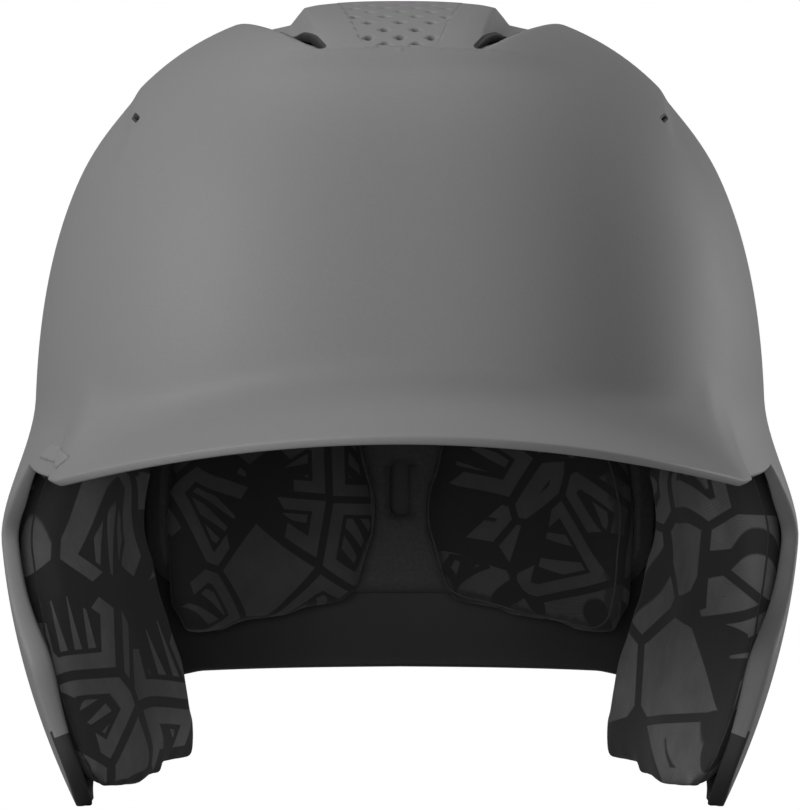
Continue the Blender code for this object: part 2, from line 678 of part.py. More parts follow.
def real_rings(step):
    """Evenly spread (azimuth, level) points over one half of the surface."""
    points = []
    longest = TABLE[2].max()
    for k, arc in enumerate(np.arange(0.9 * step, longest, step * 0.866)):
        dense = np.linspace(0, math.pi, 240)
        level = level_at_arc(dense, np.full(240, arc))
        places = surface(dense, level)
        lengths = np.concatenate([[0], np.cumsum(np.linalg.norm(np.diff(places, axis=0), axis=1))])
        count = max(2, int(round(lengths[-1] / step)))
        at = (np.arange(count) + (0.25 if k % 2 else 0.75)) * lengths[-1] / count
        azimuth = np.interp(at, lengths, dense)
        points.append(stacked(azimuth, level_at_arc(azimuth, np.full(count, arc))))
    points = np.vstack(points)
    return points[points[:, 1] < 1.999]


def build_shell(material):
    """Half the shell, mirrored."""
    trim = [even(piece, SHELL_STEP) for piece in trim_pieces()]
    trim = np.vstack([piece[:-1] for piece in trim])
    outline = np.vstack([trim, mid_line(SHELL_STEP)[:-1]])
    holes = [even(loop, 0.7 * SHELL_STEP, closed=True) if len(loop) > 20 else loop for loop in vent_loops()]
    loops, points = [], []
    for path in [outline] + holes:
        loops.append(list(range(len(points), len(points) + len(path))))
        points += list(path)
    places = surface(*np.array(points).T)
    hole_places = places[len(outline):]
    edges = []
    for line in relief_lines():
        line = even(line, 0.85 * SHELL_STEP)
        line_places = surface(*line.T)
        clear = nearest(line_places, places) > 0.5 * INLAY_WALL
        clear &= nearest(line_places, hole_places) > 0.5 * SHELL_STEP
        for i, keep in enumerate(clear):
            if keep:
                points.append(line[i])
                if i and clear[i - 1]:
                    edges.append((len(points) - 2, len(points) - 1))
        places = surface(*np.array(points).T)
    fixed = np.array(points)
    grid = real_rings(SHELL_STEP)
    grid = grid[nearest(surface(*grid.T), places) > 0.62 * SHELL_STEP]
    grid = grid[inside(polar_plane(*grid.T), polar_plane(*fixed[loops[0]].T))]
    both = np.vstack([fixed, grid])
    azimuth, level = both[:, 0], both[:, 1]
    plane = polar_plane(azimuth, level)
    triangles = triangulate(loops, plane, edges)
    want = area(plane[loops[0]])
    loops = [loop if (area(plane[loop]) > 0) == (i == 0) else loop[::-1] for i, loop in enumerate(loops)]
    rim = nearest(surface(azimuth, level), resample(surface(*trim.T), 1.5 * MM, closed=True))
    shell = build_layer("outer_shell", material, azimuth, level, loops, triangles, relief(azimuth, level),
                        wall_depth(azimuth, level, rim), True, 1, 0, True)
    mirror = shell.modifiers.new("mirror", "MIRROR")
    mirror.merge_threshold = 0.0001
    return shell


# ---------------------------------------------------------------- crest insert
def plateau_raise(y):
    share = np.abs(crest_share(y))
    return CREST_STEP * smoothstep(0.55, 0.9, share) * crest_end(share)


def pits(outline):
    """Diamond pits in staggered rows: points, edges and depths."""
    points, edges, depths = [], [], []
    clear = PIT_RADIUS + PIT_MARGIN
    front, back = CREST_MIDDLE - INLAY_HALF_LENGTH, CREST_MIDDLE + INLAY_HALF_LENGTH
    for row, y in enumerate(np.arange(front + 4 * MM, back, PIT_ROW)):
        for column in range(-3, 4):
            x = (column + (row % 2) * 0.5) * PIT_PITCH
            if abs(x) + clear > inlay_edge(crest_share(y)) - INLAY_WALL or y + clear > outline[:, 1].max():
                continue
            start = len(points)
            for dx, dy in ((1, 0), (0, 1), (-1, 0), (0, -1)):
                points.append((x + dx * PIT_RADIUS, y + dy * PIT_RADIUS))
            points.append((x, y))
            edges += [(start + k, start + (k + 1) % 4) for k in range(4)]
            depths += [0, 0, 0, 0, PIT_DEPTH]
    return points, edges, np.array(depths)


def build_crest_insert(material):
    reach = INLAY_HALF_LENGTH - 2 * INLAY_WALL - INLAY_CLEARANCE
    y = CREST_MIDDLE + np.linspace(-reach, reach, 40)
    x = inlay_edge(crest_share(y)) - INLAY_WALL - INLAY_CLEARANCE
    right = np.stack([x, y], axis=1)
    outline = resample(np.vstack([right, (right * (-1, 1))[::-1]]), 8 * MM, closed=True)

    def outer(base):
        return INLAY_TOP - plateau_raise(base[:, 1])

    def inner(base):
        return INLAY_TOP + INLAY_THICKNESS - plateau_raise(base[:, 1])

    flat_layer("crest_insert", material, from_top, outline, outer, inner, lip=1, bulge=0, extra=pits(outline))


# ---------------------------------------------------------------- liners and pads
def outline_of(corners, step=SOFT_STEP * 0.8):
    """A sampled outline from (u, v, corner radius) in millimetres."""
    return resample(rounded(np.array(corners, float) * MM), step, closed=True)


def ellipse(centre_u, centre_v, radius_u, radius_v, count=14):
    turns = np.linspace(0, 2 * math.pi, count, endpoint=False)
    return np.stack([centre_u + radius_u * np.cos(turns), centre_v + radius_v * np.sin(turns)], axis=1)


def cut(obj, cutter):
    modifier = obj.modifiers.new("cut", "BOOLEAN")
    modifier.operation = "DIFFERENCE"
    modifier.solver = "EXACT"
    modifier.object = cutter
    cutter.hide_render = True
    cutter.display_type = "WIRE"


def from_back(flat):
    """(azimuth past the back * ROUND_RADIUS, z) of the dome's wall."""
    return from_band(flat + (ROUND_RADIUS * math.pi, 0))


def pair(build, name, material):
    """build() makes the +X piece, which the wearer has on the left. The other is its mirror image."""
    first = build(name + "_left")
    return first, mirrored(first, name + "_right", material)


def ear_outline():
    return outline_of([(74, 15, 7), (78, 36, 20), (71, 72, 40), (66, 101, 10), (-17, 101, 8), (-17, 76, 10),
                       (-19, 57, 20), (-30, 43, 8), (-30, 11, 10), (-14, 6, 12), (30, 8, 60)])


def ear_face(inset):
    """Depth of an ear pad's face, less an inset. The pad thins out towards its front edge."""
    def depth(base):
        return PAD_FRONT_FACE + (PAD_FACE - PAD_FRONT_FACE) * smoothstep(*PAD_RAMP, base[:, 1]) - inset

    return depth


def build_ear_covers(fabric):
    """Cups of fabric, open towards the shell."""
    outline = ear_outline()
    hollow = shifted(outline, -COVER_SKIN)

    def cover(name):
        return flat_layer(name, fabric, from_side, outline, PAD_BACK, ear_face(0), sag=True)

    def cavity(name):
        return flat_layer(name, fabric, from_side, hollow, PAD_BACK - 2 * MM, ear_face(COVER_SKIN), sag=True)

    covers = pair(cover, "ear_pad_cover", fabric)
    for piece, cutter in zip(covers, pair(cavity, "ear_pad_cavity", fabric)):
        cut(piece, cutter)


def build_ear_cores(foam):
    """The foam blocks inside the ear pad covers."""
    outline = shifted(ear_outline(), -COVER_SKIN - GAP)
    face = ear_face(COVER_SKIN + 2 * GAP)

    def core(name):
        return flat_layer(name, foam, from_side, outline, PAD_BACK, face, sag=True)
    pair(core, "ear_pad_core", foam)


def build_patches(hook, name, domain, corners, back):
    """A pair of hook tape patches, the given depth under the base surface."""
    outline = outline_of(corners)
    pair(lambda full: flat_layer(full, hook, domain, outline, back, back + PATCH_THICKNESS, lip=1, bulge=0),
         name, hook)


def build_ear_patches(hook):
    places = {"ear_pad_patch_back": [(44, 28, 4), (60, 28, 4), (60, 72, 4), (44, 72, 4)],
              "ear_pad_patch_low": [(-4, 17, 4), (34, 19, 4), (34, 32, 4), (-4, 30, 4)]}
    for name, corners in places.items():
        build_patches(hook, name, from_side, corners, PATCH_TOP)


def build_rear_patches(hook):
    corners = [(-26, 70, 4), (-58, 70, 4), (-58, 104, 4), (-26, 104, 4)]
    build_patches(hook, "rear_pad_patch", from_back, corners, REAR_LINER_FACE + GAP)


def build_rear_liner(foam):
    """A sheet over the back of the shell, with an upright slot in its middle."""
    low, high, radius = REAR_SLOT
    outline = outline_of([(-74, 58, 12), (-14, 54, 6), (14, 54, 6), (74, 58, 12),
                          (74, 140, 20), (-74, 140, 20)])
    flat_layer("rear_liner", foam, from_back, outline, WALL + GAP, REAR_LINER_FACE,
               [slot_loop((0, low), (0, high), radius)], bulge=LINER_BULGE)


def build_rear_pads(fabric):
    hexagon = outline_of([(-12, 50, 6), (-4, 78, 8), (-12, 112, 10), (-30, 126, 10), (-68, 122, 12),
                          (-79, 84, 30), (-77, 39, 8), (-40, 43, 60)])
    pair(lambda name: flat_layer(name, fabric, from_back, hexagon, REAR_PAD_BACK, REAR_PAD_FACE),
         "rear_pad", fabric)


def build_brow_liner(liner):
    outline = outline_of([(-86, 118, 10), (86, 118, 10), (80, 168, 14), (40, 178, 30),
                          (-40, 178, 30), (-80, 168, 14)])
    flat_layer("brow_liner", liner, from_band, outline, WALL + GAP, LINER_FACE, bulge=LINER_BULGE)


def build_brow_pad(foam):
    back = LINER_FACE + GAP
    outline = outline_of([(-62, 121, 8), (62, 121, 8), (62, 146, 8), (-62, 146, 8)])
    flat_layer("brow_pad", foam, from_band, outline, back, back + BROW_PAD_THICKNESS)


def build_side_liners(liner):
    outline = outline_of([(-38, 108, 8), (58, 108, 8), (54, 150, 12), (20, 166, 24), (-34, 156, 12)])
    pair(lambda name: flat_layer(name, liner, from_side, outline, WALL + GAP, LINER_FACE, bulge=LINER_BULGE),
         "side_liner", liner)


def build_crown_liners(liner):
    outline = outline_of([(5, -46, 6), (34, -44, 14), (50, -6, 40), (48, 40, 16), (30, 60, 12), (5, 60, 6)])
    pair(lambda name: flat_layer(name, liner, from_top, outline, CROWN_LINER_BACK, CROWN_LINER_FACE,
                                 bulge=LINER_BULGE), "crown_liner", liner)


def build_crown_pad(foam):
    back = CROWN_LINER_FACE + GAP
    disc = ellipse(0, CREST_MIDDLE, 34 * MM, 36 * MM, 20)
    flat_layer("crown_pad", foam, from_top, disc, back, back + CROWN_PAD_THICKNESS)


def build_brim_patch(material):
    """A small blank plate near the brim's corner, on the wearer's right."""
    azimuth, height = PLATE_PLACE
    centre = (azimuth * ROUND_RADIUS, height)
    corners = np.array([(-1, -1), (1, -1), (1, 1), (-1, 1)]) * PLATE_HALF_SIZES + centre
    flat_layer("brim_patch", material, from_band, corners, *PLATE_DEPTHS, lip=1, bulge=0, brim=True)


# ---------------------------------------------------------------- materials
def make_material(name, colour, roughness, metallic=0.0):
    material = bpy.data.materials.new(name)
    material.use_nodes = True
    shader = material.node_tree.nodes["Principled BSDF"]
    shader.inputs["Base Color"].default_value = (*colour, 1)
    shader.inputs["Roughness"].default_value = roughness
    shader.inputs["Metallic"].default_value = metallic
    return material


def shell_paint():
    return make_material("matte_shell", (0.19, 0.195, 0.2), 0.6)


def insert_plastic():
    return make_material("insert_plastic", (0.2, 0.205, 0.21), 0.55)


def blank_plate():
    return make_material("blank_plate", (0.2, 0.205, 0.21), 0.5)


def liner_foam():
    return make_material("liner_foam", (0.03, 0.03, 0.032), 0.9)


def pad_foam():
    return make_material("pad_foam", (0.022, 0.022, 0.024), 0.95)


def printed_fabric():
    return make_material("printed_fabric", (0.03, 0.032, 0.035), 0.95)


def hook_tape():
    return make_material("hook_tape", (0.012, 0.012, 0.013), 0.95)


def main():
    for obj in list(bpy.data.objects):
        bpy.data.objects.remove(obj)
    liner, foam, fabric, hook = liner_foam(), pad_foam(), printed_fabric(), hook_tape()
    build_shell(shell_paint())
    build_crest_insert(insert_plastic())
    build_brim_patch(blank_plate())
    for build in (build_brow_liner, build_side_liners, build_crown_liners):
        build(liner)
    for build in (build_brow_pad, build_crown_pad, build_rear_liner, build_ear_cores):
        build(foam)
    for build in (build_rear_pads, build_ear_covers):
        build(fabric)
    for build in (build_rear_patches, build_ear_patches):
        build(hook)


main()
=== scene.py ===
"""Looks of the batting helmet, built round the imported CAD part."""
import math

import bpy
import numpy as np
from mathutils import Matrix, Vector
from mathutils.geometry import delaunay_2d_cdt
from mathutils.kdtree import KDTree


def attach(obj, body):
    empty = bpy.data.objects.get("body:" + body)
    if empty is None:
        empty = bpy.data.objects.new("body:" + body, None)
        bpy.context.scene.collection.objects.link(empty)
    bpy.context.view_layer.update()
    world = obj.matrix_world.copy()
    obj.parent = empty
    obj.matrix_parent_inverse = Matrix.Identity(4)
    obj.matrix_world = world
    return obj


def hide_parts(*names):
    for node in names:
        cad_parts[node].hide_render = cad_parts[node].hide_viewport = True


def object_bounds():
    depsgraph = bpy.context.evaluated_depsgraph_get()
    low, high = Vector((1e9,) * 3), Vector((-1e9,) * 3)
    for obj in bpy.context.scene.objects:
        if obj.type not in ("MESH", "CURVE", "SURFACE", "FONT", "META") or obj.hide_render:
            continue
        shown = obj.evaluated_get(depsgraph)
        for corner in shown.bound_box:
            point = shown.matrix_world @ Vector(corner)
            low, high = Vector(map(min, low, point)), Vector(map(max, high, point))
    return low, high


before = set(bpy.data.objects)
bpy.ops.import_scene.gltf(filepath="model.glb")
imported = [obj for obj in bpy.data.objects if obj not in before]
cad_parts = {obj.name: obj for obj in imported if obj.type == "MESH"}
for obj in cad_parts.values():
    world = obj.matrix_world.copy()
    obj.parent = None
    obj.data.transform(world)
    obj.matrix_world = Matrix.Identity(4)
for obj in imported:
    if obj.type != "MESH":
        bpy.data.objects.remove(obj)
cad_low, cad_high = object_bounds()

MM = 0.001
DEG = math.pi / 180

# ---------------------------------------------------------------- base surface, as in the CAD part
HALF_WIDTH = 102.8 * MM
FRONT_LENGTH = 118.0 * MM
BACK_LENGTH = 126.0 * MM
RING_HEIGHT = 95.0 * MM
TOP_HEIGHT = 225.6 * MM
WIDTH_POWER = 2.58
LENGTH_POWER = 2.2
FLARE_TOP = 114.0 * MM
FLARE_CREASE = 74.5 * MM
FLARE_OUT = 9.4 * MM
TUCK_LINEAR = 6.2 * MM
TUCK_SQUARE = 14.7 * MM
NAPE_TUCK = 8.0 * MM
NAPE_HEIGHT = 33.0 * MM
FLAP_FRONT_TURNS = (40 * DEG, 62 * DEG)
FLAP_BACK_TURNS = (105 * DEG, 150 * DEG)
BRIM_REACH = 172.0 * MM
CENTRE_Y = cad_low[1] + BRIM_REACH
BRIM_CIRCLE = 92.7 * MM
BRIM_EDGE_HEIGHT = 104.2 * MM
BRIM_ARCH = 12.3 * MM
BRIM_HALF_WIDTH = 92.3 * MM
BRIM_RUN_CENTRE = 3.7
BRIM_RUN_CORNER = 1.0
BRIM_CORNER = 46.4 * DEG
BRIM_FILLET = 18.0 * MM
BRIM_FADE_TURNS = (50 * DEG, 66 * DEG)
BRIM_FADE_HEIGHTS = (130 * MM, 170 * MM)
NOTCH_START = 44 * DEG
NOTCH_RISE = 1.6 * MM
NOTCH_AZIMUTH = 66.5 * DEG
WALL = 3.0 * MM
BRIM_WALL = 2.4 * MM
FLAP_RIM_WALL = 4.6 * MM
RIM_SWELL = 2.0 * MM
RIM_SWELL_HEIGHT = 40.0 * MM
RIM_SWELL_REACH = 16.0 * MM
CREST_MIDDLE = 5.0 * MM
CREST_HALF_LENGTH = 76.1 * MM
ROUND_RADIUS = 105 * MM
TURN_OVER = 150 * MM
ON_PLANE = 1e-6

# Relief of the crest: (value at its middle, loss at its ends), and a power for the channels' rim
PLATEAU_TOP = (27.2 * MM, 6.4 * MM)
PLATEAU_FOOT = 4.7 * MM
CHANNEL_RIM = (45.3 * MM, 24.0 * MM, 2.35)
CHANNEL_DEPTH = 4.4 * MM
BEVEL = (23.6 * MM, 6.6 * MM)
INLAY_EDGE = (18.0 * MM, 8.4 * MM)
INLAY_HALF_LENGTH = 75.3 * MM
INLAY_WALL = 0.35 * MM
INLAY_LAP = 0.9 * MM
CREST_RAISE = 1.5 * MM
END_BOW = 1.6 * MM


def smoothstep(low, high, value):
    t = np.clip((value - low) / (high - low), 0.0, 1.0)
    return t * t * (3 - 2 * t)


def smooth_max(a, b, width):
    near = np.maximum(width - np.abs(a - b), 0.0) / width
    return np.maximum(a, b) + near * near * width / 4


def height_of_level(level):
    dome = RING_HEIGHT + (TOP_HEIGHT - RING_HEIGHT) * np.cos(np.clip(level, 0, 1) * math.pi / 2)
    return np.where(level <= 1, dome, RING_HEIGHT * (2 - level))


def level_of_height(height):
    share = np.clip((height - RING_HEIGHT) / (TOP_HEIGHT - RING_HEIGHT), 0, 1)
    return np.where(height >= RING_HEIGHT, np.arccos(share) * 2 / math.pi, 2 - height / RING_HEIGHT)


def turn_from_front(azimuth):
    return np.abs((azimuth + math.pi) % (2 * math.pi) - math.pi)


def plan_terms(azimuth):
    length = np.where(np.cos(azimuth) > 0, FRONT_LENGTH, BACK_LENGTH)
    across = (np.abs(np.sin(azimuth)) / HALF_WIDTH) ** WIDTH_POWER
    along = (np.abs(np.cos(azimuth)) / length) ** LENGTH_POWER
    return across, along


def dome_radius(azimuth, level):
    share = np.cos(np.clip(level, 0, 1) * math.pi / 2)
    fill = 1 - share ** WIDTH_POWER
    across, along = plan_terms(azimuth)
    tiny = 1e-12
    radius = np.minimum((fill / (across + tiny)) ** (1 / WIDTH_POWER),
                        (fill / (along + tiny)) ** (1 / LENGTH_POWER))
    for _ in range(10):
        value = across * radius ** WIDTH_POWER + along * radius ** LENGTH_POWER - fill
        slope = (WIDTH_POWER * across * radius ** (WIDTH_POWER - 1)
                 + LENGTH_POWER * along * radius ** (LENGTH_POWER - 1))
        radius = radius - value / (slope + tiny)
    return radius


def flap_offset(azimuth, height):
    turn = turn_from_front(azimuth)
    nape = smoothstep(*FLAP_BACK_TURNS, turn)
    side = smoothstep(*FLAP_FRONT_TURNS, turn) * (1 - nape)
    down = np.clip((FLARE_CREASE - height) / FLARE_CREASE, 0, 1)
    flare = FLARE_OUT * smoothstep(FLARE_TOP, FLARE_CREASE, height)
    flare = flare - TUCK_LINEAR * down - TUCK_SQUARE * down ** 2
    tuck = -NAPE_TUCK * np.clip((RING_HEIGHT - height) / (RING_HEIGHT - NAPE_HEIGHT), 0, 1.5) ** 2
    return side * flare + nape * tuck


def brim_edge(azimuth):
    centre = BRIM_REACH - BRIM_CIRCLE
    radius = centre * np.cos(azimuth) + np.sqrt(BRIM_CIRCLE ** 2 - (centre * np.sin(azimuth)) ** 2)
    across = radius * np.abs(np.sin(azimuth)) / BRIM_HALF_WIDTH
    rise = NOTCH_RISE * np.clip((np.abs(azimuth) - NOTCH_START) / (NOTCH_AZIMUTH - NOTCH_START), 0, None)
    return radius, BRIM_EDGE_HEIGHT - BRIM_ARCH * np.minimum(across, 1) ** 2 + rise


def brim_radius(azimuth, height):
    turn = turn_from_front(azimuth)
    edge, edge_height = brim_edge(azimuth)
    share = np.clip(turn / BRIM_CORNER, 0, 1) ** 2
    run = BRIM_RUN_CENTRE + (BRIM_RUN_CORNER - BRIM_RUN_CENTRE) * share
    fade = 60 * MM * smoothstep(*BRIM_FADE_TURNS, turn) + 400 * MM * (turn > 80 * DEG)
    fade = fade + 80 * MM * smoothstep(*BRIM_FADE_HEIGHTS, height)
    return edge - np.maximum(height - edge_height, -8 * MM) * run - fade


def surface(azimuth, level, brim=True):
    azimuth, level = np.broadcast_arrays(np.asarray(azimuth, float), np.asarray(level, float))
    height = height_of_level(level)
    radius = dome_radius(azimuth, level) + flap_offset(azimuth, height)
    if brim:
        radius = smooth_max(radius, brim_radius(azimuth, height), BRIM_FILLET)
    return np.stack([radius * np.sin(azimuth), -radius * np.cos(azimuth), height], axis=-1)


def normals(azimuth, level, brim=True):
    d = 1e-3
    level = np.maximum(level, 3 * d)
    round_it = surface(azimuth + d, level, brim) - surface(azimuth - d, level, brim)
    down_it = surface(azimuth, level + d, brim) - surface(azimuth, level - d, brim)
    normal = np.cross(down_it, round_it)
    return normal / np.linalg.norm(normal, axis=-1, keepdims=True)


def meridian_table(rows=181, columns=900):
    azimuths = np.linspace(0, math.pi, rows)
    levels = np.linspace(0, 2, columns)
    grid = surface(azimuths[:, None], levels[None, :])
    steps = np.linalg.norm(np.diff(grid, axis=1), axis=2)
    return azimuths, levels, np.concatenate([np.zeros((rows, 1)), np.cumsum(steps, axis=1)], axis=1)


TABLE = meridian_table()


def arc_row(azimuth):
    azimuths, _, arcs = TABLE
    at = min(abs(azimuth) / (azimuths[1] - azimuths[0]), len(azimuths) - 1.000001)
    i = int(at)
    return arcs[i] + (arcs[i + 1] - arcs[i]) * (at - i)


def arcs_of(azimuth, level):
    return np.array([np.interp(l, TABLE[1], arc_row(a)) for a, l in zip(azimuth, level)])


def level_at_arc(azimuth, arc):
    return np.array([np.interp(s, arc_row(a), TABLE[1]) for a, s in zip(azimuth, arc)])


def from_side(flat):
    y, z = flat[:, 0], flat[:, 1]
    level = level_of_height(z)
    azimuth = np.full(len(y), math.pi / 2)
    for _ in range(40):
        radius = dome_radius(azimuth, level) + flap_offset(azimuth, z)
        azimuth = azimuth + 0.7 * (np.arccos(np.clip(-y / radius, -1, 1)) - azimuth)
    return azimuth, level


def from_top(flat):
    x, y = flat[:, 0], flat[:, 1]
    azimuth = np.arctan2(x, -y)
    radius = np.hypot(x, y)
    across, along = plan_terms(azimuth)
    fill = np.minimum(across * radius ** WIDTH_POWER + along * radius ** LENGTH_POWER, 1)
    return azimuth, np.arccos((1 - fill) ** (1 / WIDTH_POWER)) * 2 / math.pi


def from_band(flat):
    return flat[:, 0] / ROUND_RADIUS, level_of_height(flat[:, 1])


def from_back(flat):
    return from_band(flat + (ROUND_RADIUS * math.pi, 0))


def polar_plane(azimuth, level):
    arc = arcs_of(azimuth, level)
    sphere = 2 * ROUND_RADIUS
    edge = sphere * math.tan(TURN_OVER / sphere)
    radius = np.where(arc < TURN_OVER, sphere * np.tan(np.minimum(arc, TURN_OVER) / sphere),
                      edge * np.exp(np.maximum(arc - TURN_OVER, 0) / ROUND_RADIUS))
    return np.stack([radius * np.sin(azimuth), -radius * np.cos(azimuth)], axis=1)


# ---------------------------------------------------------------- outlines and triangles
def lengths_along(path):
    """Length from a path's start to each of its points."""
    return np.concatenate([[0], np.cumsum(np.linalg.norm(np.diff(path, axis=0), axis=1))])


def resample(path, step, closed):
    """The same path with points about a step apart."""
    path = np.asarray(path, float)
    if closed:
        path = np.vstack([path, path[:1]])
    lengths = lengths_along(path)
    count = max(3, int(round(lengths[-1] / step)))
    at = np.linspace(0, lengths[-1], count + 1)
    points = np.stack([np.interp(at, lengths, path[:, k]) for k in range(path.shape[1])], axis=1)
    return points[:-1] if closed else points


def rounded(corners, closed=True):
    corners = [np.array(c, float) for c in corners]
    count = len(corners)
    points = []
    for i, corner in enumerate(corners):
        if not closed and i in (0, count - 1):
            points.append(corner[:2])
            continue
        before, after = corners[i - 1][:2] - corner[:2], corners[(i + 1) % count][:2] - corner[:2]
        room = 0.48 * min(np.linalg.norm(before), np.linalg.norm(after))
        before, after = before / np.linalg.norm(before), after / np.linalg.norm(after)
        half = math.acos(float(np.clip(before @ after, -1, 1))) / 2
        reach = min(corner[2] / math.tan(half), room)
        radius = reach * math.tan(half)
        centre = corner[:2] + (before + after) / np.linalg.norm(before + after) * radius / math.sin(half)
        start, end = corner[:2] + before * reach - centre, corner[:2] + after * reach - centre
        sweep = math.atan2(start[0] * end[1] - start[1] * end[0], start @ end)
        for t in np.linspace(0, sweep, 25):
            points.append(centre + np.array([start[0] * math.cos(t) - start[1] * math.sin(t),
                                             start[0] * math.sin(t) + start[1] * math.cos(t)]))
    return np.array(points)


def area(loop):
    following = np.roll(loop, -1, axis=0)
    return 0.5 * np.sum(loop[:, 0] * following[:, 1] - following[:, 0] * loop[:, 1])


def inside(points, loop):
    held = np.zeros(len(points), bool)
    for (ax, ay), (bx, by) in zip(loop, np.roll(loop, -1, axis=0)):
        crosses = (ay > points[:, 1]) != (by > points[:, 1])
        if crosses.any():
            held ^= crosses & (points[:, 0] < ax + (points[:, 1] - ay) / (by - ay + 1e-18) * (bx - ax))
    return held


def slot_loop(start, end, radius, turns=16):
    start, end = np.array(start, float), np.array(end, float)
    heading = math.atan2(*(end - start)[::-1])
    sweep = np.linspace(-math.pi / 2, math.pi / 2, turns)
    far = [end + radius * np.array([math.cos(heading + t), math.sin(heading + t)]) for t in sweep]
    near = [start - radius * np.array([math.cos(heading + t), math.sin(heading + t)]) for t in sweep]
    return np.array(far + near)


def lattice(low, high, step):
    pitch = step * math.sqrt(3) / 2
    rows = np.arange(math.floor(low[1] / pitch), math.ceil(high[1] / pitch))
    columns = np.arange(math.floor(low[0] / step), math.ceil(high[0] / step))
    u, v = np.meshgrid(columns * step, rows * pitch)
    u = u + (rows % 2)[:, None] * step / 2
    return np.stack([u.ravel(), v.ravel()], axis=1)


def triangulate(loops, points):
    """Triangles inside the first loop and outside the rest."""
    edges = [(loop[i], loop[(i + 1) % len(loop)]) for loop in loops for i in range(len(loop))]
    found = delaunay_2d_cdt([Vector(p) for p in points], edges, [], 0, 1e-9)
    if len(found[0]) != len(points):
        raise ValueError("outlines cross")
    order = [origin[0] for origin in found[3]]
    triangles = np.array([[order[i] for i in face] for face in found[2]])
    centres = points[triangles].mean(axis=1)
    corner = points[triangles[:, 0]]
    first, second = points[triangles[:, 1]] - corner, points[triangles[:, 2]] - corner
    keep = inside(centres, points[loops[0]])
    keep &= first[:, 0] * second[:, 1] - first[:, 1] * second[:, 0] > 1e-12
    for hole in loops[1:]:
        keep &= ~inside(centres, points[hole])
    return triangles[keep]


def tree_of(points):
    tree = KDTree(len(points))
    for i, p in enumerate(points):
        tree.insert(p, i)
    tree.balance()
    return tree


def nearest(points, fixed):
    """Distance from each point to the nearest fixed one."""
    tree = tree_of(fixed)
    return np.array([tree.find(p)[2] for p in points])


def loop_distance(places, loop_places):
    return nearest(places, resample(loop_places, 0.7 * MM, closed=True))


def in_space(flat):
    return np.pad(flat, ((0, 0), (0, 1)))


def thinned(points, places, distance):
    """Drops any point that is too near one kept before it."""
    tree = tree_of(places)
    keep = np.ones(len(points), bool)
    for i, p in enumerate(places):
        if keep[i]:
            for _, j, _ in tree.find_range(p, distance):
                if j > i:
                    keep[j] = False
    return points[keep]


def stacked(azimuth, level):
    return np.stack([azimuth, level], axis=1)


def even(path, step):
    """An open path of (azimuth, level) with points about a step apart on the surface."""
    lengths = lengths_along(surface(*path.T))
    count = max(1, int(round(lengths[-1] / step)))
    at = np.linspace(0, lengths[-1], count + 1)
    return np.stack([np.interp(at, lengths, path[:, k]) for k in (0, 1)], axis=1)


def gathered(paths):
    """All points of some closed paths, and each path as a list of their numbers."""
    loops, points = [], []
    for path in paths:
        loops.append(list(range(len(points), len(points) + len(path))))
        points += list(path)
    return loops, np.array(points)


# ---------------------------------------------------------------- layers
def add_object(name, points, faces, materials, sharp=180, y=CENTRE_Y):
    """A mesh object. Shapes are worked out about the dome's centre, so that is where it goes."""
    mesh = bpy.data.meshes.new(name)
    mesh.from_pydata([tuple(p) for p in points], [], [tuple(int(i) for i in f) for f in faces])
    mesh.shade_smooth()
    if sharp < 180:
        mesh.set_sharp_from_angle(angle=sharp * DEG)
    for material in materials:
        mesh.materials.append(material)
    obj = bpy.data.objects.new(name, mesh)
    obj.location = (0, y, 0)
    bpy.context.scene.collection.objects.link(obj)
    return obj


def layer_mesh(azimuth, level, loops, triangles, outer, inner, brim, half, rings, bulge, square):
    """Points, faces and the kind of each face: 0 outer skin, 1 inner skin, 2 lip."""
    base, normal = surface(azimuth, level, brim), normals(azimuth, level, brim)
    top, bottom = base - normal * outer[:, None], base - normal * inner[:, None]
    count = len(base)
    rows = [top, bottom]
    faces = [tuple(t) for t in triangles] + [tuple(t[::-1] + count) for t in triangles]
    kinds = [0] * len(triangles) + [1] * len(triangles)
    total = 2 * count
    for loop in loops:
        loop = np.array(loop)
        tangent = base[np.roll(loop, -1)] - base[np.roll(loop, 1)]
        middle = (np.abs(base[loop, 0]) < 0.1 * ON_PLANE) & half
        tangent[middle] = (1, 0, 0)
        sign = np.where(middle, np.where(base[loop, 1] < 0, 1, -1), 1)
        away = np.cross(tangent * sign[:, None], normal[loop])
        away /= np.linalg.norm(away, axis=1, keepdims=True)
        centre, arm = (top[loop] + bottom[loop]) / 2, (top[loop] - bottom[loop]) / 2
        reach = np.linalg.norm(arm, axis=1, keepdims=True) * bulge
        chain = [loop]
        for j in range(1, rings):
            angle = math.pi * j / rings
            c, s = math.cos(angle), math.sin(angle)
            rows.append(centre + arm * math.copysign(abs(c) ** square, c) + away * reach * s ** square)
            chain.append(np.arange(total, total + len(loop)))
            total += len(loop)
        chain.append(loop + count)
        for i in range(len(loop)):
            k = (i + 1) % len(loop)
            if middle[i] and middle[k]:
                continue
            faces += [(a[k], a[i], b[i], b[k]) for a, b in zip(chain, chain[1:])]
            kinds += [2] * (len(chain) - 1)
    points = np.vstack(rows)
    if half:
        points[np.abs(points[:, 0]) < ON_PLANE, 0] = 0
    used = np.unique(np.concatenate([np.array(f) for f in faces]))
    new = np.full(len(points), -1)
    new[used] = np.arange(len(used))
    return points[used], [tuple(new[list(f)]) for f in faces], np.array(kinds)


def mirror_half(points, faces, kinds):
    """Both halves as one mesh, joined in the mid plane."""
    shared = points[:, 0] == 0
    index = np.where(shared, np.arange(len(points)), 0)
    index[~shared] = len(points) + np.arange((~shared).sum())
    other = points[~shared] * (-1, 1, 1)
    more = [tuple(index[list(f)][::-1]) for f in faces]
    return np.vstack([points, other]), faces + more, np.concatenate([kinds, kinds])


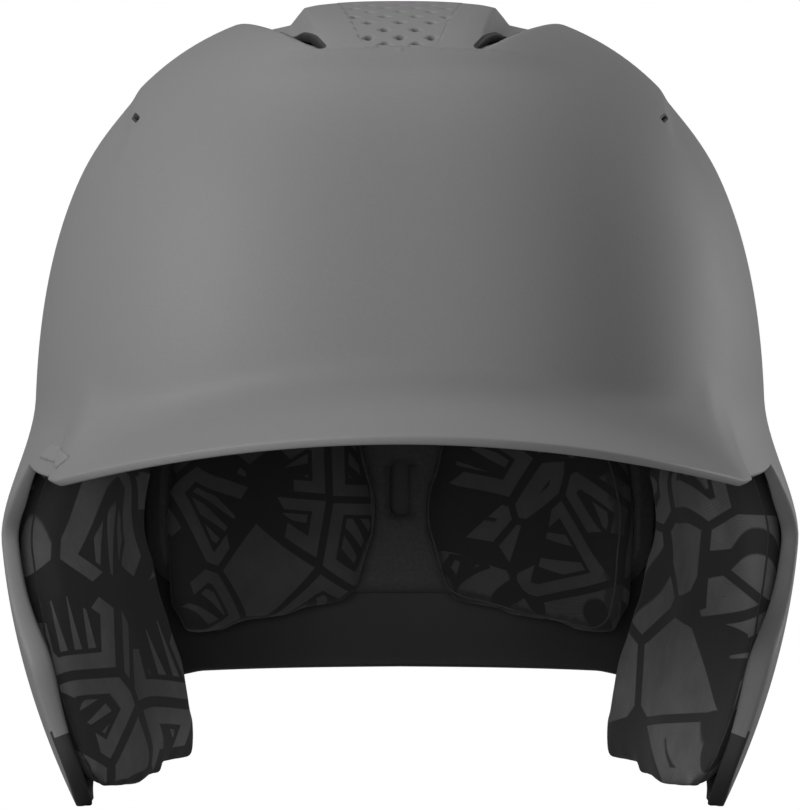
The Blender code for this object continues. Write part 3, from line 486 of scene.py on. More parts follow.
def flat_mesh(domain, outline, outer, inner, holes=(), step=3 * MM, brim=False, rings=4, extra=None):
    """A layer over an outline in a flat domain. outer and inner: numbers or functions of (base, rim)."""
    signs = [1] + [-1] * len(holes)
    paths = [path if area(path) * sign > 0 else path[::-1] for path, sign in zip([outline, *holes], signs)]
    loops, fixed = gathered(paths)
    grid = lattice(fixed.min(axis=0), fixed.max(axis=0), step)
    if extra is not None:
        grid = np.vstack([extra, grid[nearest(in_space(grid), in_space(extra)) > 0.5 * step]])
    grid = grid[inside(grid, fixed[loops[0]])]
    grid = grid[nearest(in_space(grid), in_space(fixed)) > 0.5 * step]
    flat = np.vstack([fixed, grid])
    triangles = triangulate(loops, flat)
    azimuth, level = domain(flat)
    base = surface(azimuth, level, brim)
    first = base[triangles[0]]
    facing = np.cross(first[1] - first[0], first[2] - first[0])
    if facing @ normals(azimuth[triangles[0][:1]], level[triangles[0][:1]], brim)[0] < 0:
        triangles = triangles[:, ::-1]
        loops = [loop[::-1] for loop in loops]
    rim = np.min([loop_distance(base, base[loop]) for loop in loops], axis=0)
    depths = [value(base, rim) if callable(value) else np.full(len(base), value) for value in (outer, inner)]
    return layer_mesh(azimuth, level, loops, triangles, *depths, brim, False, rings, 0.0, 1.0)


def flipped(points, faces):
    return points * (-1, 1, 1), [tuple(f[::-1]) for f in faces]


def edge_drop(rim, radius):
    """How far a rounded edge falls away at a distance from the rim."""
    inward = np.clip(1 - rim / radius, 0, 1)
    return radius * (1 - np.sqrt(1 - inward ** 2))


# ---------------------------------------------------------------- shell
def soft_ramp(t, width=0.35):
    low = smooth_max(t, np.zeros_like(t), width)
    return 1 - smooth_max(1 - low, np.zeros_like(t), width)


def crest_share(y):
    return (y - CREST_MIDDLE) / CREST_HALF_LENGTH


def plateau_top(share):
    return PLATEAU_TOP[0] - PLATEAU_TOP[1] * share ** 2


def channel_rim(share):
    return CHANNEL_RIM[0] - CHANNEL_RIM[1] * np.abs(share) ** CHANNEL_RIM[2]


def bevel_edge(share):
    return BEVEL[0] - BEVEL[1] * share ** 2


def inlay_edge(share):
    return INLAY_EDGE[0] - INLAY_EDGE[1] * share ** 2


def end_distance(x, y):
    """How far a place lies inside the crest's end crease, which bows towards the crown at its sides."""
    return CREST_HALF_LENGTH - np.abs(y - CREST_MIDDLE) - END_BOW * (x / (21 * MM)) ** 2


def crest_raise(x, y):
    """The dome stands proud along the crest's end creases."""
    ahead = end_distance(x, y)
    along = np.where(ahead > 0, 1 - smoothstep(0, 42 * MM, ahead), 1 - soft_ramp(-ahead / (6 * MM), 0.5))
    return CREST_RAISE * along * (1 - smoothstep(24 * MM, 52 * MM, x))


def relief(base):
    """Depth of the outer skin below the base surface."""
    x, y, z = np.abs(base[:, 0]), base[:, 1], base[:, 2]
    share = crest_share(y)
    dome = smoothstep(RING_HEIGHT + 40 * MM, RING_HEIGHT + 60 * MM, z)
    end = soft_ramp(end_distance(x, y) / (5 * MM))
    top = plateau_top(share)
    up = soft_ramp((x - top) / PLATEAU_FOOT, 0.06)
    out_width = 1.4 * MM + 4.6 * MM * np.clip(1 - share ** 2, 0, 1)
    down = soft_ramp((channel_rim(share) - x) / out_width)
    channel = CHANNEL_DEPTH * up * down * end
    bevel = bevel_edge(share)
    shoulder = 0.3 * MM * soft_ramp((x - bevel) / (top - bevel)) * (1 - up) * end
    across = np.clip((inlay_edge(share) - INLAY_LAP - x) / INLAY_WALL, 0, 1)
    along = np.clip((INLAY_HALF_LENGTH - INLAY_LAP - np.abs(y - CREST_MIDDLE)) / INLAY_WALL, 0, 1)
    inlay = 1.8 * MM * across * along
    out = (x - 73 * MM) / (17 * MM)
    scoop = soft_ramp(out / 0.16) * (1 - smoothstep(0.25, 1.0, out))
    length = smoothstep(-62 * MM, -44 * MM, y) * (1 - smoothstep(50 * MM, 78 * MM, y))
    scoop = 2.3 * MM * scoop * length * (0.4 + 0.6 * smoothstep(0, 25 * MM, y))
    return (channel + shoulder + inlay + scoop) * dome - crest_raise(x, y) * dome


def wall_depth(base, azimuth, rim):
    height = base[:, 2]
    turn = turn_from_front(azimuth)
    at_brim = (1 - smoothstep(52 * DEG, 64 * DEG, turn)) * (1 - smoothstep(108 * MM, 135 * MM, height))
    at_flap = smoothstep(60 * DEG, 66 * DEG, turn) * (1 - smoothstep(84 * MM, 96 * MM, height))
    at_flap = at_flap * (1 - smoothstep(100 * DEG, 120 * DEG, turn)) * (1 - smoothstep(4 * MM, 9 * MM, rim))
    rim_wall = FLAP_RIM_WALL + RIM_SWELL * np.exp(-((height - RIM_SWELL_HEIGHT) / RIM_SWELL_REACH) ** 2)
    wall = WALL + (BRIM_WALL - WALL) * at_brim + (rim_wall - WALL) * at_flap
    return wall + np.maximum(relief(base), 0)


def trim_pieces():
    """The shell's lower edge: brim, notch, ear flap, foot and nape."""
    def brim_run(start, end):
        azimuth = np.linspace(start, end, 90)
        return stacked(azimuth, level_of_height(brim_edge(azimuth)[1]))

    notch = surface(NOTCH_AZIMUTH, level_of_height(brim_edge(NOTCH_AZIMUTH)[1]))
    front_edge = [(-24, 77, 9), (-28, 55, 24), (-40, 41, 12), (-39, 8, 16), (-24, 0, 12), (-18, 0, 0)]
    foot = [(-18, 0, 0), (-4, 0, 0)]
    back_edge = [(-4, 0, 0), (4, 0, 20), (20, 3, 40), (50, 8, 40), (72, 15, 30), (92, 31, 14), (100, 32.5, 0)]
    runs = [np.array(corners) * MM for corners in (front_edge, foot, back_edge)]
    runs[0] = np.vstack([(notch[1], notch[2], 0), runs[0]])
    flap = []
    for corners in runs:
        path = resample(rounded(corners, closed=False), 0.8 * MM, closed=False)
        flap.append(stacked(*from_side(path)))
    start = flap[2][-1]
    share = np.linspace(0, 1, 60)[:, None]
    nape = start + (np.array([math.pi, level_of_height(NAPE_HEIGHT)]) - start) * share
    back = np.vstack([flap[2], nape[1:]])
    return [brim_run(0, BRIM_CORNER), brim_run(BRIM_CORNER, NOTCH_AZIMUTH), flap[0], flap[1], back]


def mid_line(step):
    """From the nape over the crown to the brim, in the mid plane, with points at the inlay's ends."""
    ends = [CREST_MIDDLE + side * (INLAY_HALF_LENGTH - INLAY_LAP - inset) for side, inset in
            ((1, 0), (1, INLAY_WALL), (-1, INLAY_WALL), (-1, 0))]
    levels = from_top(np.stack([np.zeros(4), ends], axis=1))[1]
    nape, brim = level_of_height(NAPE_HEIGHT), level_of_height(BRIM_EDGE_HEIGHT)
    runs = [(math.pi, nape, levels[0]), (math.pi, levels[0], levels[1]), (math.pi, levels[1], 0),
            (0, 0, levels[2]), (0, levels[2], levels[3]), (0, levels[3], brim)]
    pieces = []
    for azimuth, start, end in runs:
        pieces.append(even(stacked(np.full(80, azimuth), np.linspace(start, end, 80)), step))
    return np.vstack([piece[:-1] for piece in pieces] + [pieces[-1][-1:]])


FRONT_VENT = ((31.5, -53.6), (27.2, -61.2), (22.3, -69.0), (20.4, -69.6), (19.6, -68.2), (21.4, -63.8),
              (24.2, -56.6), (26.6, -50.0), (28.8, -45.8), (31.6, -45.6), (33.4, -49.6))


def vent_loops():
    """Every opening of one half of the shell."""
    crescent = resample(rounded([(x * MM, y * MM, 1.2 * MM) for x, y in FRONT_VENT]), 0.7 * MM, closed=True)
    slit = slot_loop((71.8 * MM, -52 * MM), (73.4 * MM, -45.5 * MM), 0.65 * MM)
    side = slot_loop((78.5 * MM, 6 * MM), (76 * MM, 46 * MM), 3.0 * MM)
    rear = slot_loop((ROUND_RADIUS * 146 * DEG, 172 * MM), (ROUND_RADIUS * 164 * DEG, 180 * MM), 3.5 * MM)
    loops = [stacked(*from_top(resample(path, 0.7 * MM, closed=True))) for path in (crescent, slit, side)]
    loops.append(stacked(*from_band(resample(rear, 1.0 * MM, closed=True))))
    for y, half_height in ((4 * MM, 8 * MM), (17 * MM, 12 * MM), (30 * MM, 8 * MM)):
        slot = slot_loop((y, 58 * MM - half_height), (y, 58 * MM + half_height), 3.0 * MM)
        loops.append(stacked(*from_side(resample(slot, 1.0 * MM, closed=True))))
    return loops


def relief_points():
    """Rows of points that follow each crease, close enough together to carry its fillets."""
    rows = []

    def along(edge, offsets, limit=0.99, step=1.1 * MM):
        for i, offset in enumerate(offsets):
            y = CREST_MIDDLE + CREST_HALF_LENGTH * np.linspace(-limit, limit, 200)
            x = edge(crest_share(y)) + offset * MM
            line = resample(np.stack([x, y], axis=1), step, closed=False)
            rows.append(line + (0, (i % 2) * step / 2))

    along(plateau_top, (-1.2, -0.7, -0.3, 0.1, 0.5, 0.9, 2.1, 3.3, 3.7, 4.2, 4.8))
    along(channel_rim, (-6.5, -5.5, -4.5, -3.5, -2.5, -1.5, -0.8, -0.3, 0.2, 0.8, 1.6), 0.98)
    along(bevel_edge, (-1.2, -0.6, 0, 0.6, 1.2), 0.98)
    for inset in (INLAY_LAP, INLAY_LAP + INLAY_WALL):
        reach = INLAY_HALF_LENGTH - inset
        y = CREST_MIDDLE + np.linspace(-reach, reach, 200)
        line = np.stack([inlay_edge(crest_share(y)) - inset, y], axis=1)
        rows.append(resample(line, 0.6 * MM, closed=False))
        for end in (0, -1):
            x = np.arange(0.5 * MM, line[end][0], 0.6 * MM)
            rows.append(np.stack([x, np.full(len(x), y[end])], axis=1))
    x = np.arange(0.5 * MM, 33 * MM, 1.2 * MM)
    for side in (-1, 1):
        for offset in (-3, -2, -1.2, -0.6, 0, 0.6, 1.2, 2, 3):
            y = CREST_MIDDLE + side * (CREST_HALF_LENGTH * 0.985 + offset * MM)
            rows.append(np.stack([x, np.full(len(x), y)], axis=1))
    for offset in (-0.8, -0.2, 0.3, 0.8, 1.4, 2.0, 2.6, 3.2):
        y = np.arange(-60 * MM, 76 * MM, 1.5 * MM)
        rows.append(np.stack([np.full(len(y), 73 * MM + offset * MM), y], axis=1))
    return stacked(*from_top(np.vstack(rows)))


def real_rings(step):
    points = []
    for k, arc in enumerate(np.arange(0.9 * step, TABLE[2].max(), step * 0.866)):
        dense = np.linspace(0, math.pi, 400)
        level = level_at_arc(dense, np.full(400, arc))
        lengths = lengths_along(surface(dense, level))
        count = max(2, int(round(lengths[-1] / step)))
        at = (np.arange(count) + (0.25 if k % 2 else 0.75)) * lengths[-1] / count
        azimuth = np.interp(at, lengths, dense)
        points.append(stacked(azimuth, level_at_arc(azimuth, np.full(count, arc))))
    points = np.vstack(points)
    return points[points[:, 1] < 1.9995]


def shell_points():
    """Points of one half of the shell: its loops, all points, and the lower edge."""
    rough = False
    edge_step = (4 if rough else 2) * MM
    trim = np.vstack([even(piece, edge_step)[:-1] for piece in trim_pieces()])
    outline = np.vstack([trim, mid_line(edge_step)[:-1]])
    loops, fixed = gathered([outline] + vent_loops())
    found = fixed

    def add(more, distance):
        return np.vstack([found, more[nearest(surface(*more.T), surface(*found.T)) > distance]])

    creases = relief_points()
    found = add(thinned(creases, surface(*creases.T), 0.3 * MM), 0.45 * MM)
    found = add(stacked(*from_top(lattice((1 * MM, -80 * MM), (52 * MM, 90 * MM), 1.9 * MM))), 0.9 * MM)
    found = add(real_rings((6 if rough else 3.2) * MM), 1.6 * MM)
    plane = polar_plane(*found.T)
    held = inside(plane, plane[loops[0]])
    for loop in loops[1:]:
        held &= ~inside(plane, plane[loop])
    held[:len(fixed)] = True
    return loops, found[held], trim


def build_shell(materials):
    """The moulded shell, painted outside and bare inside."""
    loops, found, trim = shell_points()
    azimuth, level = found.T
    plane = polar_plane(azimuth, level)
    triangles = triangulate(loops, plane)
    loops = [loop if (area(plane[loop]) > 0) == (i == 0) else loop[::-1] for i, loop in enumerate(loops)]
    base = surface(azimuth, level)
    rim = loop_distance(base, surface(*trim.T))
    mesh = layer_mesh(azimuth, level, loops, triangles, relief(base), wall_depth(base, azimuth, rim),
                      True, True, 8, 0.55, 0.7)
    points, faces, kinds = mirror_half(*mesh)
    points[:, 2] = np.maximum(points[:, 2], 0)
    shell = add_object("shell", points, faces, materials)
    centres = np.array([polygon.center for polygon in shell.data.polygons])
    # Painted shade: lip faces of the top vents, of the nape rim and of the flap feet below 21 mm get the dark
    # inside material, besides the real bare inner skin.
    shaded_lip = (centres[:, 2] > 150 * MM) | (centres[:, 1] > 60 * MM) | (centres[:, 2] < 21 * MM)
    inside_or_shaded = (kinds == 1) | ((kinds == 2) & shaded_lip)
    shell.data.polygons.foreach_set("material_index", inside_or_shaded.astype(np.int32))
    finish_piece(shell, "matte_shell", "outer_shell")


# ---------------------------------------------------------------- materials
class Graph:
    """Short names for building a material's nodes."""

    def __init__(self, name, roughness, specular=0.5):
        self.material = bpy.data.materials.new(name)
        self.material.use_nodes = True
        self.tree = self.material.node_tree
        self.shader = self.tree.nodes["Principled BSDF"]
        self.shader.inputs["Roughness"].default_value = roughness
        self.shader.inputs["Specular IOR Level"].default_value = specular
        self.place = self.tree.nodes.new("ShaderNodeTexCoord").outputs["Object"]

    def put(self, socket, value):
        if isinstance(value, bpy.types.NodeSocket):
            self.tree.links.new(value, socket)
        elif value is not None:
            socket.default_value = value

    def math(self, operation, a, b=None):
        node = self.tree.nodes.new("ShaderNodeMath")
        node.operation = operation
        self.put(node.inputs[0], a)
        self.put(node.inputs[1], b)
        return node.outputs[0]

    def product(self, a, *more):
        for b in more:
            a = self.math("MULTIPLY", a, b)
        return a

    def total(self, a, b):
        return self.math("ADD", a, b)

    def vector(self, operation, a, b):
        node = self.tree.nodes.new("ShaderNodeVectorMath")
        node.operation = operation
        self.put(node.inputs[0], a)
        self.put(node.inputs[1], b)
        return node.outputs["Vector"]

    def noise(self, scale, detail=2.0, rough=0.5):
        node = self.tree.nodes.new("ShaderNodeTexNoise")
        self.put(node.inputs["Vector"], self.place)
        node.inputs["Scale"].default_value = scale
        node.inputs["Detail"].default_value = detail
        node.inputs["Roughness"].default_value = rough
        return node.outputs["Fac"]

    def voronoi(self, scale, place, feature="F1"):
        node = self.tree.nodes.new("ShaderNodeTexVoronoi")
        node.feature = feature
        self.put(node.inputs["Vector"], place)
        node.inputs["Scale"].default_value = scale
        return node.outputs

    def spread(self, value, low, high, to_low=0.0, to_high=1.0):
        node = self.tree.nodes.new("ShaderNodeMapRange")
        for socket, v in zip(node.inputs, (value, low, high, to_low, to_high)):
            self.put(socket, v)
        return node.outputs[0]

    def mix(self, share, a, b):
        node = self.tree.nodes.new("ShaderNodeMix")
        node.data_type = "RGBA"
        self.put(node.inputs[0], share)
        self.put(node.inputs[6], a)
        self.put(node.inputs[7], b)
        return node.outputs[2]

    def bump(self, height, strength, distance, after=None):
        node = self.tree.nodes.new("ShaderNodeBump")
        self.put(node.inputs["Height"], height)
        node.inputs["Strength"].default_value = strength
        node.inputs["Distance"].default_value = distance
        if after is not None:
            self.put(node.inputs["Normal"], after)
        return node.outputs[0]

    def attribute(self, name):
        node = self.tree.nodes.new("ShaderNodeAttribute")
        node.attribute_name = name
        return node.outputs["Fac"]

    def finish(self, colour=None, normal=None, roughness=None, sheen=None):
        self.put(self.shader.inputs["Base Color"], colour)
        self.put(self.shader.inputs["Normal"], normal)
        self.put(self.shader.inputs["Roughness"], roughness)
        if sheen is not None:
            self.shader.inputs["Sheen Weight"].default_value = sheen
            self.shader.inputs["Sheen Roughness"].default_value = 0.5
        return self.material


COOL = (1, 1, 1.02)


def grey(value, tint=(1, 1, 1)):
    return (value * tint[0], value * tint[1], value * tint[2], 1)


def matte_paint(name="matte_shell", tone=0.19, pit_shade=False):
    """Rough paint with a fine sprayed grain, and optionally painted shade that darkens the pits."""
    g = Graph(name, 0.6, 0.4)
    fine = g.noise(2600, 1.0, 0.6)
    speckle = g.noise(900, 2.0, 0.6)
    cloudy = g.noise(14, 3.0, 0.5)
    value = 0.5
    for grain, weight in ((speckle, 0.16), (cloudy, 0.05), (fine, 0.18)):
        value = g.total(g.product(g.math("SUBTRACT", grain, 0.5), weight), value)
    colour = g.mix(value, grey(tone * 0.72), grey(tone * 1.28))
    if pit_shade:
        # Painted shade: the colour darkens towards the bottom of each pit.
        colour = g.mix(g.spread(g.attribute("pit"), 0.35, 1.0), colour, grey(tone * 0.3))
    normal = g.bump(fine, 0.22, 0.00012)
    rough = g.spread(cloudy, 0.3, 0.7, 0.56, 0.66)
    return g.finish(colour, normal, rough)


def inner_plastic():
    """The unpainted inside of the shell."""
    g = Graph("shell_inside", 0.62, 0.35)
    colour = g.mix(g.noise(40, 3.0), grey(0.024), grey(0.036))
    return g.finish(colour, g.bump(g.noise(900), 0.25, 0.00015))


def foam(name, tone, cell=700):
    """Moulded foam: a fine closed-cell skin."""
    g = Graph(name, 0.85, 0.25)
    cells = g.voronoi(cell, g.place)["Distance"]
    mottled = g.noise(60, 3.0)
    colour = g.mix(g.product(g.total(mottled, cells), 0.6), grey(tone * 0.75), grey(tone * 1.3))
    normal = g.bump(cells, 0.3, 0.0002, g.bump(g.noise(120), 0.2, 0.0004))
    return g.finish(colour, normal, sheen=0.05)


def hook_tape():
    """The pile of hook and loop tape."""
    g = Graph("hook_tape", 0.9, 0.2)
    loops = g.noise(1500, 3.0)
    return g.finish(g.mix(loops, grey(0.006), grey(0.02)), g.bump(loops, 0.8, 0.0005), sheen=0.2)


def printed_fabric(name, dark, light, squeeze, seed, size):
    """Knitted cloth printed with plain angular shards: each cell has a broad stroke along some of its
    sides and a few bars of unequal width across the rest."""
    g = Graph(name, 0.88, 0.2)
    place = g.vector("MULTIPLY", g.place, squeeze)
    place = g.vector("ADD", place, (seed, 0.37 * seed, 0.11 * seed))
    cell = g.voronoi(1000 / size, place)
    edge = g.voronoi(1000 / size, place, "DISTANCE_TO_EDGE")["Distance"]
    split = g.tree.nodes.new("ShaderNodeSeparateXYZ")
    g.put(split.inputs[0], g.vector("SUBTRACT", place, cell["Position"]))
    x, y, z = split.outputs
    picks = g.tree.nodes.new("ShaderNodeSeparateColor")
    g.put(picks.inputs[0], cell["Color"])
    turn_pick, phase_pick, pitch_pick = picks.outputs
    # u and v: the cell's own axes, turned by chance in the plane of the cloth
    turn = g.product(turn_pick, 2 * math.pi)
    cosine, sine = g.math("COSINE", turn), g.math("SINE", turn)
    across, up = g.total(x, g.product(y, 0.7)), g.total(z, g.product(y, 0.3))
    u = g.total(g.product(across, cosine), g.product(up, sine))
    v = g.math("SUBTRACT", g.product(up, cosine), g.product(across, sine))
    side = g.math("GREATER_THAN", g.total(u, g.product(g.math("ABSOLUTE", v), 0.5)), -0.0012)
    stroke = g.product(g.spread(edge, 0.045, 0.055), g.spread(edge, 0.2, 0.21, 1.0, 0.0), side)
    slant = g.product(g.total(v, g.product(u, 0.18)), g.spread(pitch_pick, 0, 1, 140, 210))
    phase = g.math("FRACT", g.total(slant, phase_pick))
    off = g.math("ABSOLUTE", g.math("SUBTRACT", phase, 0.5))
    width = g.spread(u, -0.009, 0.009, 0.05, 0.34)
    bars = g.spread(g.math("SUBTRACT", off, width), -0.01, 0.01, 1.0, 0.0)
    bars = g.product(bars, g.spread(edge, 0.25, 0.26))
    whole = g.product(g.math("GREATER_THAN", pitch_pick, 0.86), g.spread(edge, 0.05, 0.06))
    shard = g.math("MAXIMUM", g.math("MAXIMUM", bars, stroke), whole)
    worn = g.spread(g.noise(90, 4.0, 0.6), 0.3, 0.75, 0.7, 1.1)
    shard = g.product(shard, worn, g.spread(g.attribute("rim"), 0.0, 1.0, 0.3, 1.0))
    knit = g.tree.nodes.new("ShaderNodeTexWave")
    g.put(knit.inputs["Vector"], g.place)
    knit.inputs["Scale"].default_value = 800
    knit.inputs["Distortion"].default_value = 1.5
    knit.bands_direction = "DIAGONAL"
    weave = g.product(knit.outputs["Fac"], g.noise(1400))
    colour = g.mix(shard, grey(dark, COOL), grey(light, COOL))
    colour = g.mix(g.product(weave, 0.35), colour, grey(dark * 0.7))
    normal = g.bump(g.noise(38), 0.25, 0.0015, g.bump(shard, 0.3, 0.0001))
    return g.finish(colour, g.bump(weave, 0.15, 0.00025, normal), sheen=0.08)


# ---------------------------------------------------------------- hard pieces
PIT_ROWS = (-69.4, -65.7, -60.9, -55.3, -49.7, -43.7, -37.7)
PIT_PITCH = 8.5 * MM
PIT_RADIUS = 2.0 * MM
PIT_DEPTH = 1.1 * MM
PIT_RINGS = ((0.0, 1), (0.5, 6), (1.0, 10), (1.5, 14), (2.0, 18), (2.5, 20))


def pit_places():
    """Rows of pits: two, three or four abreast, staggered, as far as the panel is wide."""
    rows = [y * MM for y in PIT_ROWS]
    while rows[-1] < CREST_MIDDLE + INLAY_HALF_LENGTH - 8 * MM:
        rows.append(rows[-1] + 5.6 * MM)
    places = []
    for i, y in enumerate(rows):
        room = inlay_edge(crest_share(y)) - 0.6 * MM
        for k in range(-3, 4):
            x = (k + (0.5 if i % 2 == 0 else 0)) * PIT_PITCH
            if abs(x) < room and y < CREST_MIDDLE + INLAY_HALF_LENGTH - 3 * MM:
                places.append((x, y))
    return np.array(places)


def pit_share(places):
    """How deep down a pit each place is, from 0 to 1."""
    share = np.zeros(len(places))
    for x, y in pit_places():
        far = (np.abs(places[:, 0] - x) + np.abs(places[:, 1] - y) * 1.1) / PIT_RADIUS
        share = np.maximum(share, np.clip(1.25 * (1 - far), 0, 1))
    return share


def build_inlay(material):
    """The dimpled panel let into the crest."""
    y = CREST_MIDDLE + np.linspace(-INLAY_HALF_LENGTH, INLAY_HALF_LENGTH, 120)
    right = np.stack([inlay_edge(crest_share(y)), y], axis=1)
    outline = resample(np.vstack([right, (right * (-1, 1))[::-1]]), 1.2 * MM, closed=True)
    local = []
    for px, py in pit_places():
        for radius, count in PIT_RINGS:
            turns = np.arange(count) * 2 * math.pi / count
            local += [(px + radius * MM * math.cos(t), py + radius * MM * math.sin(t)) for t in turns]
    local = np.array(local)
    local = thinned(local, in_space(local), 0.3 * MM)

    def outer(base, rim):
        lift = crest_raise(np.abs(base[:, 0]), base[:, 1])
        return PIT_DEPTH * pit_share(base) + edge_drop(rim, 0.08 * MM) - 0.07 * MM - lift

    def inner(base, rim):
        thickness = 0.2 * MM + 1.35 * MM * smoothstep(1.0 * MM, 1.6 * MM, rim)
        return thickness - crest_raise(np.abs(base[:, 0]), base[:, 1])

    points, faces, _ = flat_mesh(from_top, outline, outer, inner, step=1.6 * MM, rings=2, extra=local)
    inlay = add_object("crest_inlay", points, faces, [material], sharp=40)
    # The pit attribute drives the painted shade in the pits of the insert's paint.
    inlay.data.attributes.new("pit", "FLOAT", "POINT").data.foreach_set("value", pit_share(points))
    finish_piece(inlay, "insert_plastic", "crest_insert")


def finish_piece(obj, slot, *nodes):
    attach(obj, "root")
    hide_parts(*nodes)


PLATE_CORNERS = ((-61.0, 97.6), (-48.0, 94.8), (-44.6, 98.2), (-57.4, 101.4))


def build_plate(material):
    """The small blank plate that wraps the brim's side corner."""
    corners = [(azimuth * DEG * ROUND_RADIUS, height * MM, 0.6 * MM) for azimuth, height in PLATE_CORNERS]
    outline = resample(rounded(corners), 0.5 * MM, closed=True)

    def outer(base, rim):
        return edge_drop(rim, 0.2 * MM) - 0.35 * MM

    points, faces, _ = flat_mesh(from_band, outline, outer, 0.3 * MM, step=0.7 * MM, brim=True, rings=2)
    plate = add_object("brim_plate", points, faces, [material])
    finish_piece(plate, "blank_plate", "brim_patch")


# ---------------------------------------------------------------- liners
def outline_of(corners):
    """A closed path round corners given as (u, v, fillet) in millimetres."""
    return resample(rounded(np.array(corners, float) * MM), 2.5 * MM, closed=True)


def soft_mesh(domain, outline, back, face, edge, crown, holes=()):
    """A pad: flat back, face with rounded edges that swells by crown in its middle."""
    def outer(base, rim):
        return back + edge_drop(rim, 1.2 * MM)

    def inner(base, rim):
        deep = face(base) if callable(face) else face
        return deep - edge_drop(rim, edge) + crown * smoothstep(0, 26 * MM, rim)

    return flat_mesh(domain, outline, outer, inner, holes, rings=5)


TAPE_THICKNESS = 1.3
TAPES = {"ear_pad_patch_back": (from_side, [(44, 28, 4), (60, 28, 4), (60, 72, 4), (44, 72, 4)], 3.4),
         "ear_pad_patch_low": (from_side, [(-4, 17, 4), (34, 19, 4), (34, 32, 4), (-4, 30, 4)], 3.4),
         "rear_pad_patch": (from_back, [(-26, 70, 4), (-58, 70, 4), (-58, 104, 4), (-26, 104, 4)], 12.5)}


def add_pair(name, points, faces, material, slot, nodes):
    """The wearer's left piece and its mirror image."""
    made = []
    for side in ("left", "right"):
        if side == "right":
            points, faces = flipped(points, faces)
        obj = add_object("%s_%s" % (name, side), points, faces, [material])
        finish_piece(obj, slot, *["%s_%s" % (node, side) for node in nodes])
        made.append(obj)
    return made


def add_single(name, points, faces, material, slot, node):
    finish_piece(add_object(name, points, faces, [material]), slot, node)


def build_liners(foams, hook):
    """Moulded liners, the two comfort pads and the tape. Depths run inwards from the outer skin."""
    liner, pad, rear_foam = foams
    brow = outline_of([(-86, 118, 10), (86, 118, 10), (80, 168, 14), (40, 178, 30), (-40, 178, 30),
                       (-80, 168, 14)])
    points, faces, _ = soft_mesh(from_band, brow, 3.5 * MM, 16 * MM, 4 * MM, 0)
    add_single("brow_foam", points, faces, liner, "liner_foam", "brow_liner")
    strip = outline_of([(-62, 121, 8), (62, 121, 8), (62, 146, 8), (-62, 146, 8)])
    points, faces, _ = soft_mesh(from_band, strip, 16.4 * MM, 23 * MM, 3.5 * MM, 0.8 * MM)
    add_single("brow_comfort_pad", points, faces, pad, "pad_foam", "brow_pad")
    side = outline_of([(-38, 108, 8), (58, 108, 8), (54, 150, 12), (20, 166, 24), (-34, 156, 12)])
    points, faces, _ = soft_mesh(from_side, side, 3.5 * MM, 16 * MM, 4 * MM, 0)
    add_pair("side_foam", points, faces, liner, "liner_foam", ["side_liner"])
    crown = outline_of([(5, -46, 6), (34, -44, 14), (50, -6, 40), (48, 40, 16), (30, 60, 12), (5, 60, 6)])
    points, faces, _ = soft_mesh(from_top, crown, 7.6 * MM, 18 * MM, 4 * MM, 0)
    add_pair("crown_foam", points, faces, liner, "liner_foam", ["crown_liner"])
    turns = np.linspace(0, 2 * math.pi, 90, endpoint=False)
    disc = np.stack([34 * MM * np.cos(turns), CREST_MIDDLE + 36 * MM * np.sin(turns)], axis=1)
    points, faces, _ = soft_mesh(from_top, disc, 18.4 * MM, 25 * MM, 4 * MM, 1.5 * MM)
    add_single("crown_comfort_pad", points, faces, pad, "pad_foam", "crown_pad")
    slot = slot_loop((0, 80 * MM), (0, 92 * MM), 2.5 * MM)
    rear = outline_of([(-74, 58, 12), (-14, 54, 6), (14, 54, 6), (74, 58, 12), (74, 140, 20), (-74, 140, 20)])
    points, faces, _ = soft_mesh(from_back, rear, 3.5 * MM, 12 * MM, 3 * MM, 0, [slot])
    add_single("rear_foam", points, faces, rear_foam, "pad_foam", "rear_liner")
    for node, (domain, corners, depth) in TAPES.items():
        points, faces, _ = flat_mesh(domain, outline_of(corners), depth * MM, (depth + TAPE_THICKNESS) * MM)
        if node == "rear_pad_patch":
            points, faces = flipped(points, faces)
        add_pair(node.replace("patch", "tape"), points, faces, hook, "hook_tape", [node])


# ---------------------------------------------------------------- wrapped pads
CLOTH_FRAMES = 20
CLOTH_PRESSURE = 4.0
CLOTH_CELL = 4.0 * MM
CLOTH_REACH = 1.0 * MM


def evened(mesh, shift, rounds):
    """Each vertex's values blended with its neighbours', which takes out steps and narrow folds."""
    edges = np.array([edge.vertices for edge in mesh.edges])
    for _ in range(rounds):
        total, count = np.zeros_like(shift), np.zeros((len(shift), 1))
        for a, b in (edges.T, edges.T[::-1]):
            np.add.at(total, a, shift[b])
            np.add.at(count, a, 1)
        shift = (shift + total / count) / 2
    return shift


